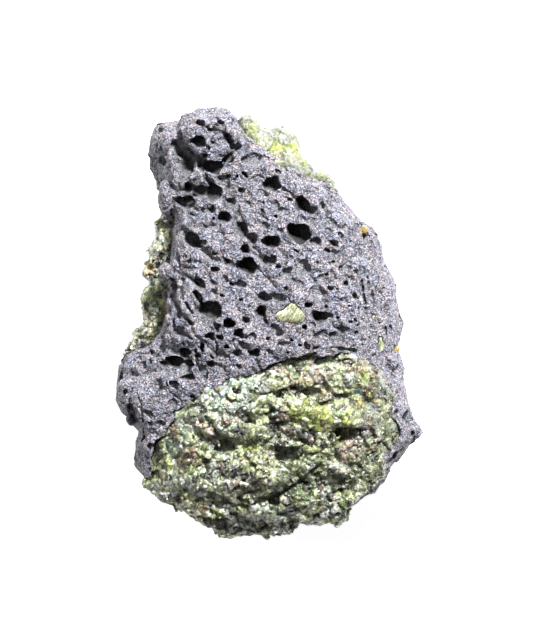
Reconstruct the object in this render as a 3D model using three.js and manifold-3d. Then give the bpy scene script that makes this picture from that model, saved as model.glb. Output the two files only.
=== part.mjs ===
// Olivine basalt specimen: a hand-sized piece of vesicular basalt that carries granular olivine nodules and a few single
// olivine crystals. Millimetres, +Z up. The stone lies on its flattest side, with its fresh broken face upwards.
// Origin: middle of the stone's footprint, on the surface it rests on. +Y is the stone's long direction, towards its narrow end.
import * as THREE from "three";
import { mergeVertices } from "three/addons/utils/BufferGeometryUtils.js";
import Module from "manifold-3d";

// ---------------------------------------------------------------- driving dimensions
const UNIT = 0.2; // one plan unit in mm: the outlines below are drawn on a plan of 5 units to the millimetre
const PLAN_X = 268.5; // plan point that lies over the origin
const PLAN_Y = 321.5;
const CENTRING = [0.63, 0.18]; // mm, brings the middle of the finished footprint over the origin
const WAIST_Z = 16; // height of the widest section
const BUBBLE_SWELL = 1.12; // the bubbles' flat facets are set out this much, so that they average the round bubble
const GAP = 0.3; // clearance between an inclusion and its socket
const HOST_DETAIL = 10; // subdivision of the sphere each body is drawn out from
const FRONT_DETAIL = 7;
const SMALL_DETAIL = 4;
const VESICLE_LIFT = 0.3; // how far under the skin a gas bubble's centre lies, as a share of its depth radius

const X = (u) => (u - PLAN_X) * UNIT;
const Y = (v) => (PLAN_Y - v) * UNIT;

// plan outlines, one [u, v] point per corner
const HOST_OUTLINE = [
  [175.5, 126.5], [178.5, 121], [181, 116], [186, 112.5], [193, 110], [205, 107.5], [218, 105], [228, 107], [233, 112], [237, 118],
  [243, 124], [252, 132.5], [262, 140], [275, 152], [290, 162], [304, 168], [316, 176], [328, 182], [338, 192], [347, 203],
  [356, 213], [364, 222], [373, 228], [379, 236], [381, 250], [386, 262], [392, 275], [398, 290], [398, 305], [401, 322],
  [400, 340], [399, 352], [403, 362], [404, 380], [405, 395], [410, 405], [414, 420], [421, 430], [421, 437], [416, 440],
  [408, 447], [403, 455], [396, 462], [392, 472], [385, 482], [372, 493], [358, 502], [344, 511], [330, 516], [305, 522],
  [270, 527], [240, 526], [216, 516], [190, 502], [168, 492], [152, 490], [143, 480], [137, 468], [134, 455], [136, 445],
  [140, 436], [137, 428], [130, 420], [121, 412], [117, 405], [116, 385], [117, 370], [119, 360], [127, 353], [139, 347],
  [150, 340], [158, 328], [163, 310], [163, 290], [164, 270], [166, 250], [165, 235], [168, 220], [166, 208], [160, 196],
  [157, 185], [154, 175], [150, 165], [147, 155], [148, 140], [150, 130], [157, 124], [165, 121.5], [171, 122.5],
];
const FRONT_OUTLINE = [
  [196, 398], [206, 386], [222, 380], [240, 376], [258, 370], [278, 366], [300, 362], [318, 357], [336, 354], [352, 356],
  [364, 362], [374, 372], [382, 385], [388, 400], [392, 416], [398, 430], [396, 444], [386, 458], [378, 472], [366, 486],
  [352, 498], [346, 512], [336, 522], [318, 520], [300, 524], [292, 532], [272, 536], [250, 538], [232, 537], [216, 530],
  [204, 520], [190, 508], [174, 502], [160, 494], [151, 484], [153, 470], [150, 456], [154, 444], [166, 436], [176, 426],
  [184, 412],
];
const LEFT_OUTLINE = [
  [157, 200], [160, 212], [153, 222], [152, 235], [148, 250], [146, 262], [142, 280], [141, 297], [146, 305], [143, 318],
  [138, 330], [132, 340], [127, 349], [137, 357], [156, 352], [170, 336], [179, 312], [181, 285], [179, 255], [178, 226],
  [172, 205], [165, 197],
];
const TOP_OUTLINE = [
  [240, 126], [243, 117], [250, 115], [256, 119], [262, 129], [275, 127], [285, 127], [293, 132], [297, 140], [303, 151],
  [307, 160], [318, 169], [332, 181], [338, 190], [322, 199], [298, 189], [273, 175], [250, 155], [239, 138],
];

// fracture planes: [u, v, height there, rise per mm towards +X, rise per mm towards +Y]
const HOST_UPPER = [
  [250, 300, 38.5, 0.02, -0.17], [352, 300, 38, -1.15, -0.1], [345, 215, 36.5, -0.75, -0.75],
  [192, 330, 37.5, 0.55, 0.1], [170, 300, 34, 1.6, -0.15], [290, 440, 35, -0.04, 0.27],
  [280, 500, 31.5, 0, 0.62], [190, 140, 32.6, 0.55, -0.35], [380, 440, 32.5, -0.9, 0.4],
];
const HOST_LOWER = [
  [262, 330, -0.3, 0, 0], [322, 330, 0, 0.6, 0.06], [216, 330, 0.2, -0.58, 0.05],
  [255, 262, 0.2, 0.05, 0.38], [262, 402, 0, 0.04, -0.48], [330, 430, 2.4, 0.7, -0.66],
  [180, 220, 3.4, -0.9, 0.5], [190, 430, 2.2, -0.66, -0.5],
];
const FRONT_UPPER = [
  [290, 440, 35.4, -0.02, 0.22], [285, 515, 30.6, 0, 0.8], [180, 450, 32.6, 0.75, 0.15],
  [372, 440, 33.2, -0.8, 0.15], [250, 385, 37.7, 0.02, -0.08],
];
const FRONT_LOWER = [
  [275, 450, 17, 0, -0.1], [215, 450, 19, -0.5, 0], [335, 450, 19, 0.5, 0],
  [275, 410, 21, 0, 0.6],
];
const LEFT_UPPER = [
  [158, 280, 23.2, 0.15, 0.05], [158, 225, 22.4, 0.15, -0.3], [150, 330, 22.4, 0.2, 0.3],
];
const LEFT_LOWER = [
  [158, 280, 9, -0.35, 0], [158, 225, 11.5, -0.2, 0.35], [150, 330, 11, -0.2, -0.35],
];
const TOP_UPPER = [
  [288, 155, 26.5, -0.35, -0.35], [250, 130, 27, 0.2, -0.5], [315, 178, 25.5, -0.5, -0.1],
];
const TOP_LOWER = [
  [288, 155, 12.5, 0.1, 0.3], [250, 135, 14, -0.3, 0.3], [318, 180, 13, 0.35, 0.1],
];

// broad swellings and hollows of the upper face: [u, v, ru, rv, turn in degrees, height in mm, edge sharpness]
const SWELLINGS = [
  [209, 130, 32, 25, -20, 2, 3.5], [230, 122, 20, 22, 20, 1.2, 3], [161, 142, 12, 20, 10, 1.8, 4],
  [183, 149, 6, 12, -35, -1.6, 2], [200, 163, 12, 5, 12, -1.2, 2], [300, 205, 22, 9, -38, -1, 2],
  [330, 205, 12, 12, 0, -0.8, 2], [185, 210, 22, 12, 10, -1, 2], [375, 310, 5, 26, -8, -0.9, 2],
  [200, 300, 16, 8, 60, 0.8, 2], [205, 355, 30, 16, 0, -0.6, 2], [118, 395, 36, 44, 0, 7.5, 2.5],
];

// the larger gas bubbles: [u, v, ru, rv, turn in degrees, depth radius over mean radius]
const BUBBLES = [
  [301, 236, 13, 10, 20, 1.15], [298, 172, 12, 7.5, 20, 0.9], [270, 185, 9.5, 8.5, 0, 1.1], [305, 209, 12, 8, 30, 0.9],
  [242, 177, 10, 6, 22, 0.95], [245, 236, 14, 8, 32, 0.9], [273, 243, 10, 6.5, 10, 1.1], [190, 241, 15, 10, -28, 1],
  [248, 266, 10, 8, -12, 1.1], [267, 263, 7.5, 6, -10, 1.1], [303, 268, 10, 7, -30, 1], [263, 299, 8, 6, -20, 0.9],
  [207, 311, 15, 12, -30, 0.9], [261, 318, 10, 7.5, -30, 1], [319, 319, 9, 7, -20, 0.9], [320, 336, 10, 6, -18, 0.8],
  [345, 352, 10, 5.5, 0, 0.8], [229, 325, 8.5, 6.5, -12, 0.9], [189, 356, 11, 6, -10, 0.9], [170, 364, 9, 7, 0, 1],
  [198, 285, 9, 6.5, -30, 0.9], [223, 217, 9, 6.5, 80, 0.9], [182, 153, 10, 7, -10, 1], [201, 143, 8, 5.5, 0, 0.9],
  [216, 168, 10, 6, -10, 1], [207, 195, 10, 6, -10, 1],
];

// single crystals: [name, u, v, radius x, radius y, radius z, turn in degrees, sink below the skin] in plan units and mm
const CRYSTALS = [
  ["face_olivine_crystal", 291, 313.6, 3, 2, 1.9, -8, 1.2],
  ["shoulder_olivine_crystal", 364, 230, 0.9, 0.75, 0.9, 0, 0.35],
  ["flank_olivine_crystal", 380, 344, 0.8, 1.45, 1, 8, 0.35],
  ["groove_olivine_crystal", 374.5, 318, 0.6, 0.85, 0.8, 0, 0.3],
  ["edge_olivine_crystal", 397, 349, 0.7, 0.9, 0.8, 10, 0.3],
];

// ---------------------------------------------------------------- fields
// signed distance in mm from a plan point to a closed outline, positive inside
function outlineDistance(outline, x, y) {
  let best = Infinity;
  let inside = false;
  for (let i = 0; i < outline.length; i++) {
    const [u0, v0] = outline[i];
    const [u1, v1] = outline[(i + 1) % outline.length];
    const ax = X(u0), ay = Y(v0), ex = X(u1) - ax, ey = Y(v1) - ay;
    const t = Math.min(1, Math.max(0, ((x - ax) * ex + (y - ay) * ey) / (ex * ex + ey * ey)));
    best = Math.min(best, (x - ax - t * ex) ** 2 + (y - ay - t * ey) ** 2);
    if (ay > y !== ay + ey > y && x < (ex * (y - ay)) / (ey || 1e-12) + ax) inside = !inside;
  }
  return inside ? Math.sqrt(best) : -Math.sqrt(best);
}

const clamp01 = (t) => Math.min(1, Math.max(0, t));

function smoothMin(a, b, k) {
  const h = clamp01(0.5 + (0.5 * (b - a)) / k);
  return b * (1 - h) + a * h - k * h * (1 - h);
}
const smoothMax = (a, b, k) => -smoothMin(-a, -b, k);

function planes(set, x, y, k, join) {
  return set
    .map(([u, v, z, gx, gy]) => z + gx * (x - X(u)) + gy * (y - Y(v)))
    .reduce((a, b) => join(a, b, k));
}

// repeatable random value from -1 to 1 at a lattice point
function latticeValue(i, j, k, seed) {
  let n = (Math.imul(i, 374761393) + Math.imul(j, 668265263) + Math.imul(k, 1103515245) + Math.imul(seed, 974634777)) >>> 0;
  n = Math.imul(n ^ (n >>> 13), 1274126177) >>> 0;
  n = (n ^ (n >>> 16)) >>> 0;
  return n / 2147483648 - 1;
}

const spline = (t) => [(1 - t) ** 3 / 6, (3 * t ** 3 - 6 * t * t + 4) / 6, (-3 * t ** 3 + 3 * t * t + 3 * t + 1) / 6, t ** 3 / 6];

// smooth value noise of one wavelength
function unevenness(x, y, z, wavelength, seed) {
  const q = [x, y, z].map((c) => c / wavelength);
  const i = q.map(Math.floor);
  const w = q.map((c, n) => spline(c - i[n]));
  let sum = 0;
  for (let a = 0; a < 4; a++)
    for (let b = 0; b < 4; b++)
      for (let c = 0; c < 4; c++)
        sum += w[0][a] * w[1][b] * w[2][c] * latticeValue(i[0] + a - 1, i[1] + b - 1, i[2] + c - 1, seed);
  return 2 * sum;
}

function planEllipse(x, y, u, v, ru, rv, turn) {
  const a = THREE.MathUtils.degToRad(-turn);
  const dx = x - X(u), dy = y - Y(v);
  const p = dx * Math.cos(a) + dy * Math.sin(a), q = -dx * Math.sin(a) + dy * Math.cos(a);
  return (p / (ru * UNIT)) ** 2 + (q / (rv * UNIT)) ** 2;
}

function hostTop(x, y) {
  let z = planes(HOST_UPPER, x, y, 2.2, smoothMin);
  const wx = x + 1.5 * unevenness(x, y, 0, 4.5, 71), wy = y + 1.5 * unevenness(x, y, 0, 4.5, 72);
  for (const [u, v, ru, rv, turn, h, sharp] of SWELLINGS) z += h * Math.exp(-(planEllipse(wx, wy, u, v, ru, rv, turn) ** (sharp / 2)));
  return z;
}

// below zero inside the stone as it was before gas bubbles and inclusions
function hostField(x, y, z) {
  const s = outlineDistance(HOST_OUTLINE, x, y);
  const waist = WAIST_Z + 0.05 * x + 0.03 * y;
  const up = Math.max(0, z - waist) / 20, down = Math.max(0, waist - z) / 17;
  const wall = -s + Math.min(4.5, Math.max(1.8, 3.6 + 0.09 * x)) * up ** 2.2 + 6.0 * down ** 2;
  const top = (z - hostTop(x, y)) * 0.92;
  let floor = planes(HOST_LOWER, x, y, 2.0, smoothMax);
  floor += 1.1 * unevenness(x, y, 0, 17, 31) * clamp01((floor + 0.5) / 3);
  const under = (floor - z) * 0.92;
  const k = 0.3 + 0.7 * Math.max(clamp01(s / 4), clamp01((waist - z - 2) / 8));
  return smoothMax(smoothMax(wall, top, 2.2), under, 2.4) + k * (0.75 * unevenness(x, y, z, 13, 11) + 0.5 * unevenness(x, y, z, 6.5, 12));
}

// an inclusion: the same build from its own outline and planes; an upright one keeps its width above the waist,
// and lift raises its top, which leaves the socket cut with it open above
function inclusionField(outline, upper, lower, waist, seed, upright = false, lift = 0) {
  return (x, y, z) => {
    const s = outlineDistance(outline, x, y);
    const away = upright ? Math.max(0, waist - z) : Math.abs(z - waist);
    const wall = -s + 3.0 * (away / 12) ** 2.2;
    const top = (z - lift - planes(upper, x, y, 1.8, smoothMin)) * 0.9;
    const under = (planes(lower, x, y, 1.8, smoothMax) - z) * 0.9;
    const k = 0.3 + 0.7 * clamp01(s / 3);
    return smoothMax(smoothMax(wall, top, 1.6), under, 1.8) + k * 0.45 * unevenness(x, y, z, 5, seed);
  };
}

// ---------------------------------------------------------------- solids
const wasm = await Module();
wasm.setup();

function toManifold(geometry) {
  const g = geometry.clone();
  g.deleteAttribute("normal");
  g.deleteAttribute("uv");
  const merged = mergeVertices(g, 1e-4);
  return new wasm.Manifold(
    new wasm.Mesh({ numProp: 3, vertProperties: new Float32Array(merged.attributes.position.array), triVerts: new Uint32Array(merged.index.array) }),
  );
}

function toGeometry(manifold) {
  const m = manifold.getMesh();
  const g = new THREE.BufferGeometry();
  g.setAttribute("position", new THREE.BufferAttribute(new Float32Array(m.vertProperties), 3));
  g.setIndex(new THREE.BufferAttribute(new Uint32Array(m.triVerts), 1));
  g.translate(...CENTRING, 0);
  g.computeVertexNormals();
  return g;
}

// an ellipsoid of the given proportions whose points are drawn out from centre to where the field crosses level
function drawnOut(field, centre, proportions, reach, detail, level = 0) {
  const g = new THREE.IcosahedronGeometry(1, detail);
  const p = g.attributes.position;
  const d = new THREE.Vector3();
  for (let i = 0; i < p.count; i++) {
    d.fromBufferAttribute(p, i).multiply(proportions).normalize();
    const at = (r) => field(centre[0] + d.x * r, centre[1] + d.y * r, centre[2] + d.z * r) - level;
    let far = reach;
    while (far > 1 && at(far) > 0) far -= 0.5;
    let near = far, out = far + 0.5;
    for (let n = 0; n < 16; n++) {
      const mid = (near + out) / 2;
      if (at(mid) > 0) out = mid;
      else near = mid;
    }
    p.setXYZ(i, centre[0] + d.x * near, centre[1] + d.y * near, centre[2] + d.z * near);
  }
  return toManifold(g);
}

function ellipsoid(centre, radii, turn, detail) {
  const g = new THREE.IcosahedronGeometry(1, detail);
  g.scale(...radii);
  g.rotateZ(THREE.MathUtils.degToRad(-turn));
  g.translate(...centre);
  return toManifold(g);
}

// height of the stone's own skin over a plan point
function skin(x, y) {
  let z = 48;
  while (z > 2 && hostField(x, y, z) > 0) z -= 0.25;
  return z;
}

const bodies = {
  front_olivine_nodule: { field: inclusionField(FRONT_OUTLINE, FRONT_UPPER, FRONT_LOWER, 25, 21, true), socket: inclusionField(FRONT_OUTLINE, FRONT_UPPER, FRONT_LOWER, 25, 21, true, 6), centre: [0.6, -24.6, 26.5], proportions: new THREE.Vector3(24, 18, 10), reach: 36, detail: FRONT_DETAIL },
  left_olivine_nodule: { field: inclusionField(LEFT_OUTLINE, LEFT_UPPER, LEFT_LOWER, 19, 22), centre: [-21.6, 8, 19], proportions: new THREE.Vector3(5, 15, 10), reach: 26, detail: SMALL_DETAIL },
  top_olivine_nodule: { field: inclusionField(TOP_OUTLINE, TOP_UPPER, TOP_LOWER, 19.5, 23), centre: [4.2, 32.8, 20], proportions: new THREE.Vector3(9, 8, 7), reach: 22, detail: SMALL_DETAIL },
};

let host = drawnOut(hostField, [0, -1, 18], new THREE.Vector3(30, 43, 22), 60, HOST_DETAIL);
const inclusions = {};
for (const [name, b] of Object.entries(bodies)) {
  inclusions[name] = drawnOut(b.field, b.centre, b.proportions, b.reach, b.detail);
  host = host.subtract(drawnOut(b.socket ?? b.field, b.centre, b.proportions, b.reach + 1, b.detail, GAP));
}
for (const [u, v, ru, rv, turn, deep] of BUBBLES) {
  const x = X(u), y = Y(v), rx = ru * UNIT * BUBBLE_SWELL, ry = rv * UNIT * BUBBLE_SWELL;
  const rz = (deep * (rx + ry)) / 2;
  const bubble = ellipsoid([x, y, skin(x, y) - VESICLE_LIFT * rz], [rx, ry, rz], turn, 1);
  host = host.subtract(bubble);
}
for (const [name, u, v, rx, ry, rz, turn, sink] of CRYSTALS) {
  const x = X(u), y = Y(v), at = [x, y, skin(x, y) - sink];
  inclusions[name] = ellipsoid(at, [rx, ry, rz], turn, 1);
  host = host.subtract(ellipsoid(at, [rx + GAP, ry + GAP, rz + GAP], turn, 1));
}
// the stone's worn foot, flat on the surface it rests on
const below = new THREE.BoxGeometry(120, 120, 20);
below.translate(0, 0, -10);
host = host.subtract(toManifold(below));
// crumbs that the cuts leave loose are dropped
host = host.decompose().sort((a, b) => b.volume() - a.volume())[0];

// ---------------------------------------------------------------- scene graph
const basalt = new THREE.MeshStandardMaterial({ name: "vesicular_basalt", color: 0x77747c, roughness: 0.92, metalness: 0 });
const granular = new THREE.MeshStandardMaterial({ name: "granular_olivine", color: 0x9aa56a, roughness: 0.45, metalness: 0 });
const clear = new THREE.MeshStandardMaterial({ name: "clear_olivine", color: 0xc3d68a, roughness: 0.25, metalness: 0 });
const materials = { front_olivine_nodule: granular, left_olivine_nodule: granular, top_olivine_nodule: clear };

const specimen = new THREE.Group();
specimen.name = "olivine_basalt_specimen";
function add(name, manifold, material) {
  const mesh = new THREE.Mesh(toGeometry(manifold), material);
  mesh.name = name;
  specimen.add(mesh);
}
add("basalt_host", host, basalt);
for (const [name, solid] of Object.entries(inclusions)) add(name, solid, materials[name] ?? clear);

export default specimen;
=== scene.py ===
# Looks of the olivine basalt specimen. Every shape is a distance field worked out here in numpy.
# Plan points are [u, v] in units of 0.2 mm with v running down the stone, as in the CAD; everything else is in millimetres
# until the meshes are made in metres.
import bpy, math, time
import numpy as np
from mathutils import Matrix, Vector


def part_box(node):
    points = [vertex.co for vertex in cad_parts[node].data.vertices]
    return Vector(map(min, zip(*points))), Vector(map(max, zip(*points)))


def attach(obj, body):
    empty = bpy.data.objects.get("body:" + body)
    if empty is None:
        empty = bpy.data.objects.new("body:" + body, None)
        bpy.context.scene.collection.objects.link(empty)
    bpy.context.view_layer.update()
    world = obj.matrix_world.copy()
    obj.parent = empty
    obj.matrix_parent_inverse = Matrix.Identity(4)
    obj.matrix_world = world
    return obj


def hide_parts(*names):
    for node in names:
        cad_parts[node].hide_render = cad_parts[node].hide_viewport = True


T0 = time.time()
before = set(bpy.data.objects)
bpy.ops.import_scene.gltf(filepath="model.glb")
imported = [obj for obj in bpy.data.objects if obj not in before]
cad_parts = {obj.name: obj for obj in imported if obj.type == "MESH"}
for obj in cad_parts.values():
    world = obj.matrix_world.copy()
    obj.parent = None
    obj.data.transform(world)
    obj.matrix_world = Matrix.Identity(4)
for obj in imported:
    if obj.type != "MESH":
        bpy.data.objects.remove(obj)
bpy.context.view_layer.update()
STEP = 0.26          # mm, grid pitch of the basalt

HOST_TRIS = 198600
MM = 0.2
PLAN = (268.5, 321.5)
CENTRING = (0.63, 0.18)                 # mm, as in the CAD
rng = np.random.default_rng(626)


def X(u): return (np.asarray(u, float) - PLAN[0]) * MM
def Y(v): return (PLAN[1] - np.asarray(v, float)) * MM

# ---------------------------------------------------------------- outlines and fracture planes, as in the CAD
HOST_OUT = [
    (175.5, 126.5), (178.5, 121), (181, 116), (186, 112.5), (193, 110), (205, 107.5), (218, 105), (228, 107), (233, 112), (237, 118), (243, 124),
    (252, 132.5), (262, 140), (275, 152), (290, 162), (304, 168), (316, 176), (328, 182), (338, 192), (347, 203), (356, 213), (364, 222), (373, 228),
    (379, 236), (381, 250), (386, 262), (392, 275), (398, 290), (398, 305), (401, 322), (400, 340), (399, 352), (403, 362), (404, 380), (405, 395),
    (410, 405), (414, 420), (421, 430), (421, 437), (416, 440), (408, 447), (403, 455), (396, 462), (392, 472), (385, 482), (372, 493), (358, 502),
    (344, 511), (330, 516), (305, 522), (270, 527), (240, 526), (216, 516), (190, 502), (168, 492), (152, 490), (143, 480), (137, 468), (134, 455),
    (136, 445), (140, 436), (137, 428), (130, 420), (121, 412), (117, 405), (116, 385), (117, 370), (119, 360), (127, 353), (139, 347), (150, 340),
    (158, 328), (163, 310), (163, 290), (164, 270), (166, 250), (165, 235), (168, 220), (166, 208), (160, 196), (157, 185), (154, 175), (150, 165),
    (147, 155), (148, 140), (150, 130), (157, 124), (165, 121.5), (171, 122.5),
]
NOD_OUT = [
    (196, 398), (206, 386), (222, 380), (240, 376), (258, 370), (278, 366), (300, 362), (318, 357), (336, 354), (352, 356), (364, 362), (374, 372),
    (382, 385), (388, 400), (392, 416), (398, 430), (396, 444), (386, 458), (378, 472), (366, 486), (352, 498), (346, 512), (336, 522), (318, 520),
    (300, 524), (292, 532), (272, 536), (250, 538), (232, 537), (216, 530), (204, 520), (190, 508), (174, 502), (160, 494), (151, 484), (153, 470),
    (150, 456), (154, 444), (166, 436), (176, 426), (184, 412),
]
LEFT_OUT = [
    (157, 200), (160, 212), (153, 222), (152, 235), (148, 250), (146, 262), (142, 280), (141, 297), (146, 305), (143, 318), (138, 330), (132, 340),
    (127, 349), (137, 357), (156, 352), (170, 336), (179, 312), (181, 285), (179, 255), (178, 226), (172, 205), (165, 197),
]
TOP_OUT = [
    (240, 126), (243, 117), (250, 115), (256, 119), (262, 129), (275, 127), (285, 127), (293, 132), (297, 140), (303, 151), (307, 160), (318, 169),
    (332, 181), (338, 190), (322, 199), (298, 189), (273, 175), (250, 155), (239, 138),
]
# planes: u, v, height there, rise per mm of +X, rise per mm of +Y
FRONT = [
    (250, 300, 38.5, 0.02, -0.17), (352, 300, 38.0, -1.15, -0.10), (345, 215, 36.5, -0.75, -0.75), (192, 330, 37.5, 0.55, 0.10),
    (170, 300, 34.0, 1.6, -0.15), (290, 440, 35.0, -0.04, 0.27), (280, 500, 31.5, 0.0, 0.62), (190, 140, 32.6, 0.55, -0.35), (380, 440, 32.5, -0.9, 0.40),
]
BACK = [
    (262, 330, -0.3, 0.0, 0.0), (322, 330, 0.0, 0.60, 0.06), (216, 330, 0.2, -0.58, 0.05), (255, 262, 0.2, 0.05, 0.38), (262, 402, 0.0, 0.04, -0.48),
    (330, 430, 2.4, 0.7, -0.66), (180, 220, 3.4, -0.9, 0.5), (190, 430, 2.2, -0.66, -0.5),
]
NF_UP = [(290,440,35.4,-0.02,0.22),(285,515,30.6,0.0,0.80),(180,450,32.6,0.75,0.15),(372,440,33.2,-0.80,0.15),(250,385,37.7,0.02,-0.08)]
NF_LO = [(275,450,17.0,0.0,-0.10),(215,450,19.0,-0.5,0.0),(335,450,19.0,0.5,0.0),(275,410,21.0,0.0,0.6)]
NL_UP = [(158,280,23.2,0.15,0.05),(158,225,22.4,0.15,-0.3),(150,330,22.4,0.2,0.3)]
NL_LO = [(158,280,9.0,-0.35,0.0),(158,225,11.5,-0.2,0.35),(150,330,11.0,-0.2,-0.35)]
NT_UP = [(288,155,26.5,-0.35,-0.35),(250,130,27.0,0.2,-0.5),(315,178,25.5,-0.5,-0.1)]
NT_LO = [(288,155,12.5,0.1,0.3),(250,135,14.0,-0.3,0.3),(318,180,13.0,0.35,0.1)]
# broad swellings and hollows of the face: u, v, ru, rv, turn, height, edge sharpness
BUMPS = [
    (209, 130, 32, 25, -20, 2.0, 3.5), (230, 122, 20, 22, 20, 1.2, 3), (161, 142, 12, 20, 10, 1.8, 4), (183, 149, 6, 12, -35, -1.6, 2),
    (200, 163, 12, 5, 12, -1.2, 2), (300, 205, 22, 9, -38, -1.0, 2), (330, 205, 12, 12, 0, -0.8, 2), (185, 210, 22, 12, 10, -1.0, 2),
    (375, 310, 5, 26, -8, -0.9, 2), (200, 300, 16, 8, 60, 0.8, 2), (205, 355, 30, 16, 0, -0.6, 2), (118, 395, 36, 44, 0, 7.5, 2.5),
]
INCL = dict(F=(NOD_OUT, NF_UP, NF_LO, 25.0, 21), L=(LEFT_OUT, NL_UP, NL_LO, 19.0, 22), T=(TOP_OUT, NT_UP, NT_LO, 19.5, 23))
# single crystals: name, u, v, radii x, y, z, turn, sink under the skin
CRYSTALS = [
    ("face_olivine_crystal", 291, 313.6, 3.0, 2.0, 1.9, -8, 1.2), ("shoulder_olivine_crystal", 364, 230, 0.9, 0.75, 0.9, 0, 0.35),
    ("flank_olivine_crystal", 380, 344, 0.8, 1.45, 1.0, 8, 0.35), ("groove_olivine_crystal", 374.5, 318, 0.6, 0.85, 0.8, 0, 0.3),
    ("edge_olivine_crystal", 397, 349, 0.7, 0.9, 0.8, 10, 0.3),
]


def poly_sd(P, px, py):
    """Signed distance (mm), positive inside, of points (px,py) mm to an outline in plan units."""
    P = np.array(P, float); A = np.stack([X(P[:,0]), Y(P[:,1])], 1); B = np.roll(A, -1, 0)
    d = np.full(px.shape, 1e9); inside = np.zeros(px.shape, bool)
    for (ax, ay), (bx, by) in zip(A, B):
        ex, ey = bx-ax, by-ay
        t = np.clip(((px-ax)*ex + (py-ay)*ey) / (ex*ex+ey*ey), 0, 1)
        d = np.minimum(d, (px-ax-t*ex)**2 + (py-ay-t*ey)**2)
        c = ((ay > py) != (by > py)) & (px < (bx-ax)*(py-ay)/(by-ay+1e-12)+ax)
        inside ^= c
    d = np.sqrt(d)
    return np.where(inside, d, -d)


def smin(a, b, k):
    h = np.clip(0.5 + 0.5*(b-a)/k, 0, 1)
    return b*(1-h) + a*h - k*h*(1-h)


def smax(a, b, k): return -smin(-a, -b, k)


def h3(i, j, k, seed):
    i, j, k = (np.asarray(q).astype(np.int64) for q in (i, j, k))
    n = (i*374761393 + j*668265263 + k*1103515245 + seed*974634777) & 0xffffffff
    n = ((n ^ (n >> 13)) * 1274126177) & 0xffffffff
    n = n ^ (n >> 16)
    return n / 2147483648.0 - 1.0


def bsw(t):
    return np.stack([(1-t)**3/6, (3*t**3-6*t*t+4)/6, (-3*t**3+3*t*t+3*t+1)/6, t**3/6], -1)


def _mat(ax, L):
    q = ax / L; i0 = np.floor(q).astype(int); w = bsw(q - i0)
    lo = i0.min() - 1; n = i0.max() + 3 - lo
    M = np.zeros((len(ax), n), np.float32)
    for c in range(4): M[np.arange(len(ax)), i0 - 1 + c - lo] += w[:, c]
    return M, lo, n


def gnoise(ax, ay, az, L, seed):
    """cubic B-spline value noise on the grid ax x ay x az, about -1..1 (scaled by 2)"""
    Mx, lx, nx = _mat(ax, L); My, ly, ny = _mat(ay, L); Mz, lz, nz = _mat(az, L)
    I, J, K = np.meshgrid(np.arange(lx, lx+nx), np.arange(ly, ly+ny), np.arange(lz, lz+nz), indexing='ij')
    V = (2.0*h3(I, J, K, seed)).astype(np.float32)
    t = np.tensordot(Mx, V, (1, 0)); t = np.tensordot(t, My, (1, 1)).transpose(0, 2, 1)
    return (t.reshape(-1, nz) @ Mz.T).reshape(len(ax), len(ay), len(az))


def ell2(x, y, u, v, ru, rv, ang):
    a = np.radians(-ang); dx, dy = x - X(u), y - Y(v)
    p, q = dx*np.cos(a) + dy*np.sin(a), -dx*np.sin(a) + dy*np.cos(a)
    return (p/(ru*MM))**2 + (q/(rv*MM))**2


def plane_set(P, x, y, k, lower):
    z = None
    for (u, v, z0, gx, gy) in P:
        w = z0 + gx*(x - X(u)) + gy*(y - Y(v))
        z = w if z is None else (smin(z, w, k) if lower else smax(z, w, k))
    return z


def host_field(ax, ay, az, fine=True):
    x, y = np.meshgrid(ax, ay, indexing='ij')
    s = poly_sd(HOST_OUT, x, y)
    zf = plane_set(FRONT, x, y, 2.2, True)
    wx = x + 1.5*gnoise(ax, ay, np.array([0.0]), 4.5, 71)[:, :, 0]; wy = y + 1.5*gnoise(ax, ay, np.array([0.0]), 4.5, 72)[:, :, 0]
    for (u, v, ru, rv, ang, h, sh) in BUMPS:
        zf = zf + h*np.exp(-ell2(wx, wy, u, v, ru, rv, ang)**(sh/2))
    zb = plane_set(BACK, x, y, 2.0, False)
    zb = zb + 1.1*gnoise(ax, ay, np.array([0.0]), 17.0, 31)[:, :, 0]*np.clip((zb + 0.5)/3.0, 0, 1)
    zm = 16.0 + 0.05*x + 0.03*y
    z = az[None, None, :]; s, zf, zb, zm = (q[:, :, None] for q in (s, zf, zb, zm))
    up = np.maximum(0, z - zm)/20.0; dn = np.maximum(0, zm - z)/17.0
    wall = -s + np.clip(3.6 + 0.09*x, 1.8, 4.5)[:, :, None]*up**2.2 + 6.0*dn**2.0
    f = smax(smax(wall, (z - zf)*0.92, 2.2), (zb - z)*0.92, 2.4)
    k = 0.3 + 0.7*np.maximum(np.clip(s/4.0, 0, 1), np.clip((zm - z - 2.0)/8.0, 0, 1))
    f = f + k*(0.75*gnoise(ax, ay, az, 13.0, 11) + 0.5*gnoise(ax, ay, az, 6.5, 12))
    return f.astype(np.float32), zf[:, :, 0], zb[:, :, 0]
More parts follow.
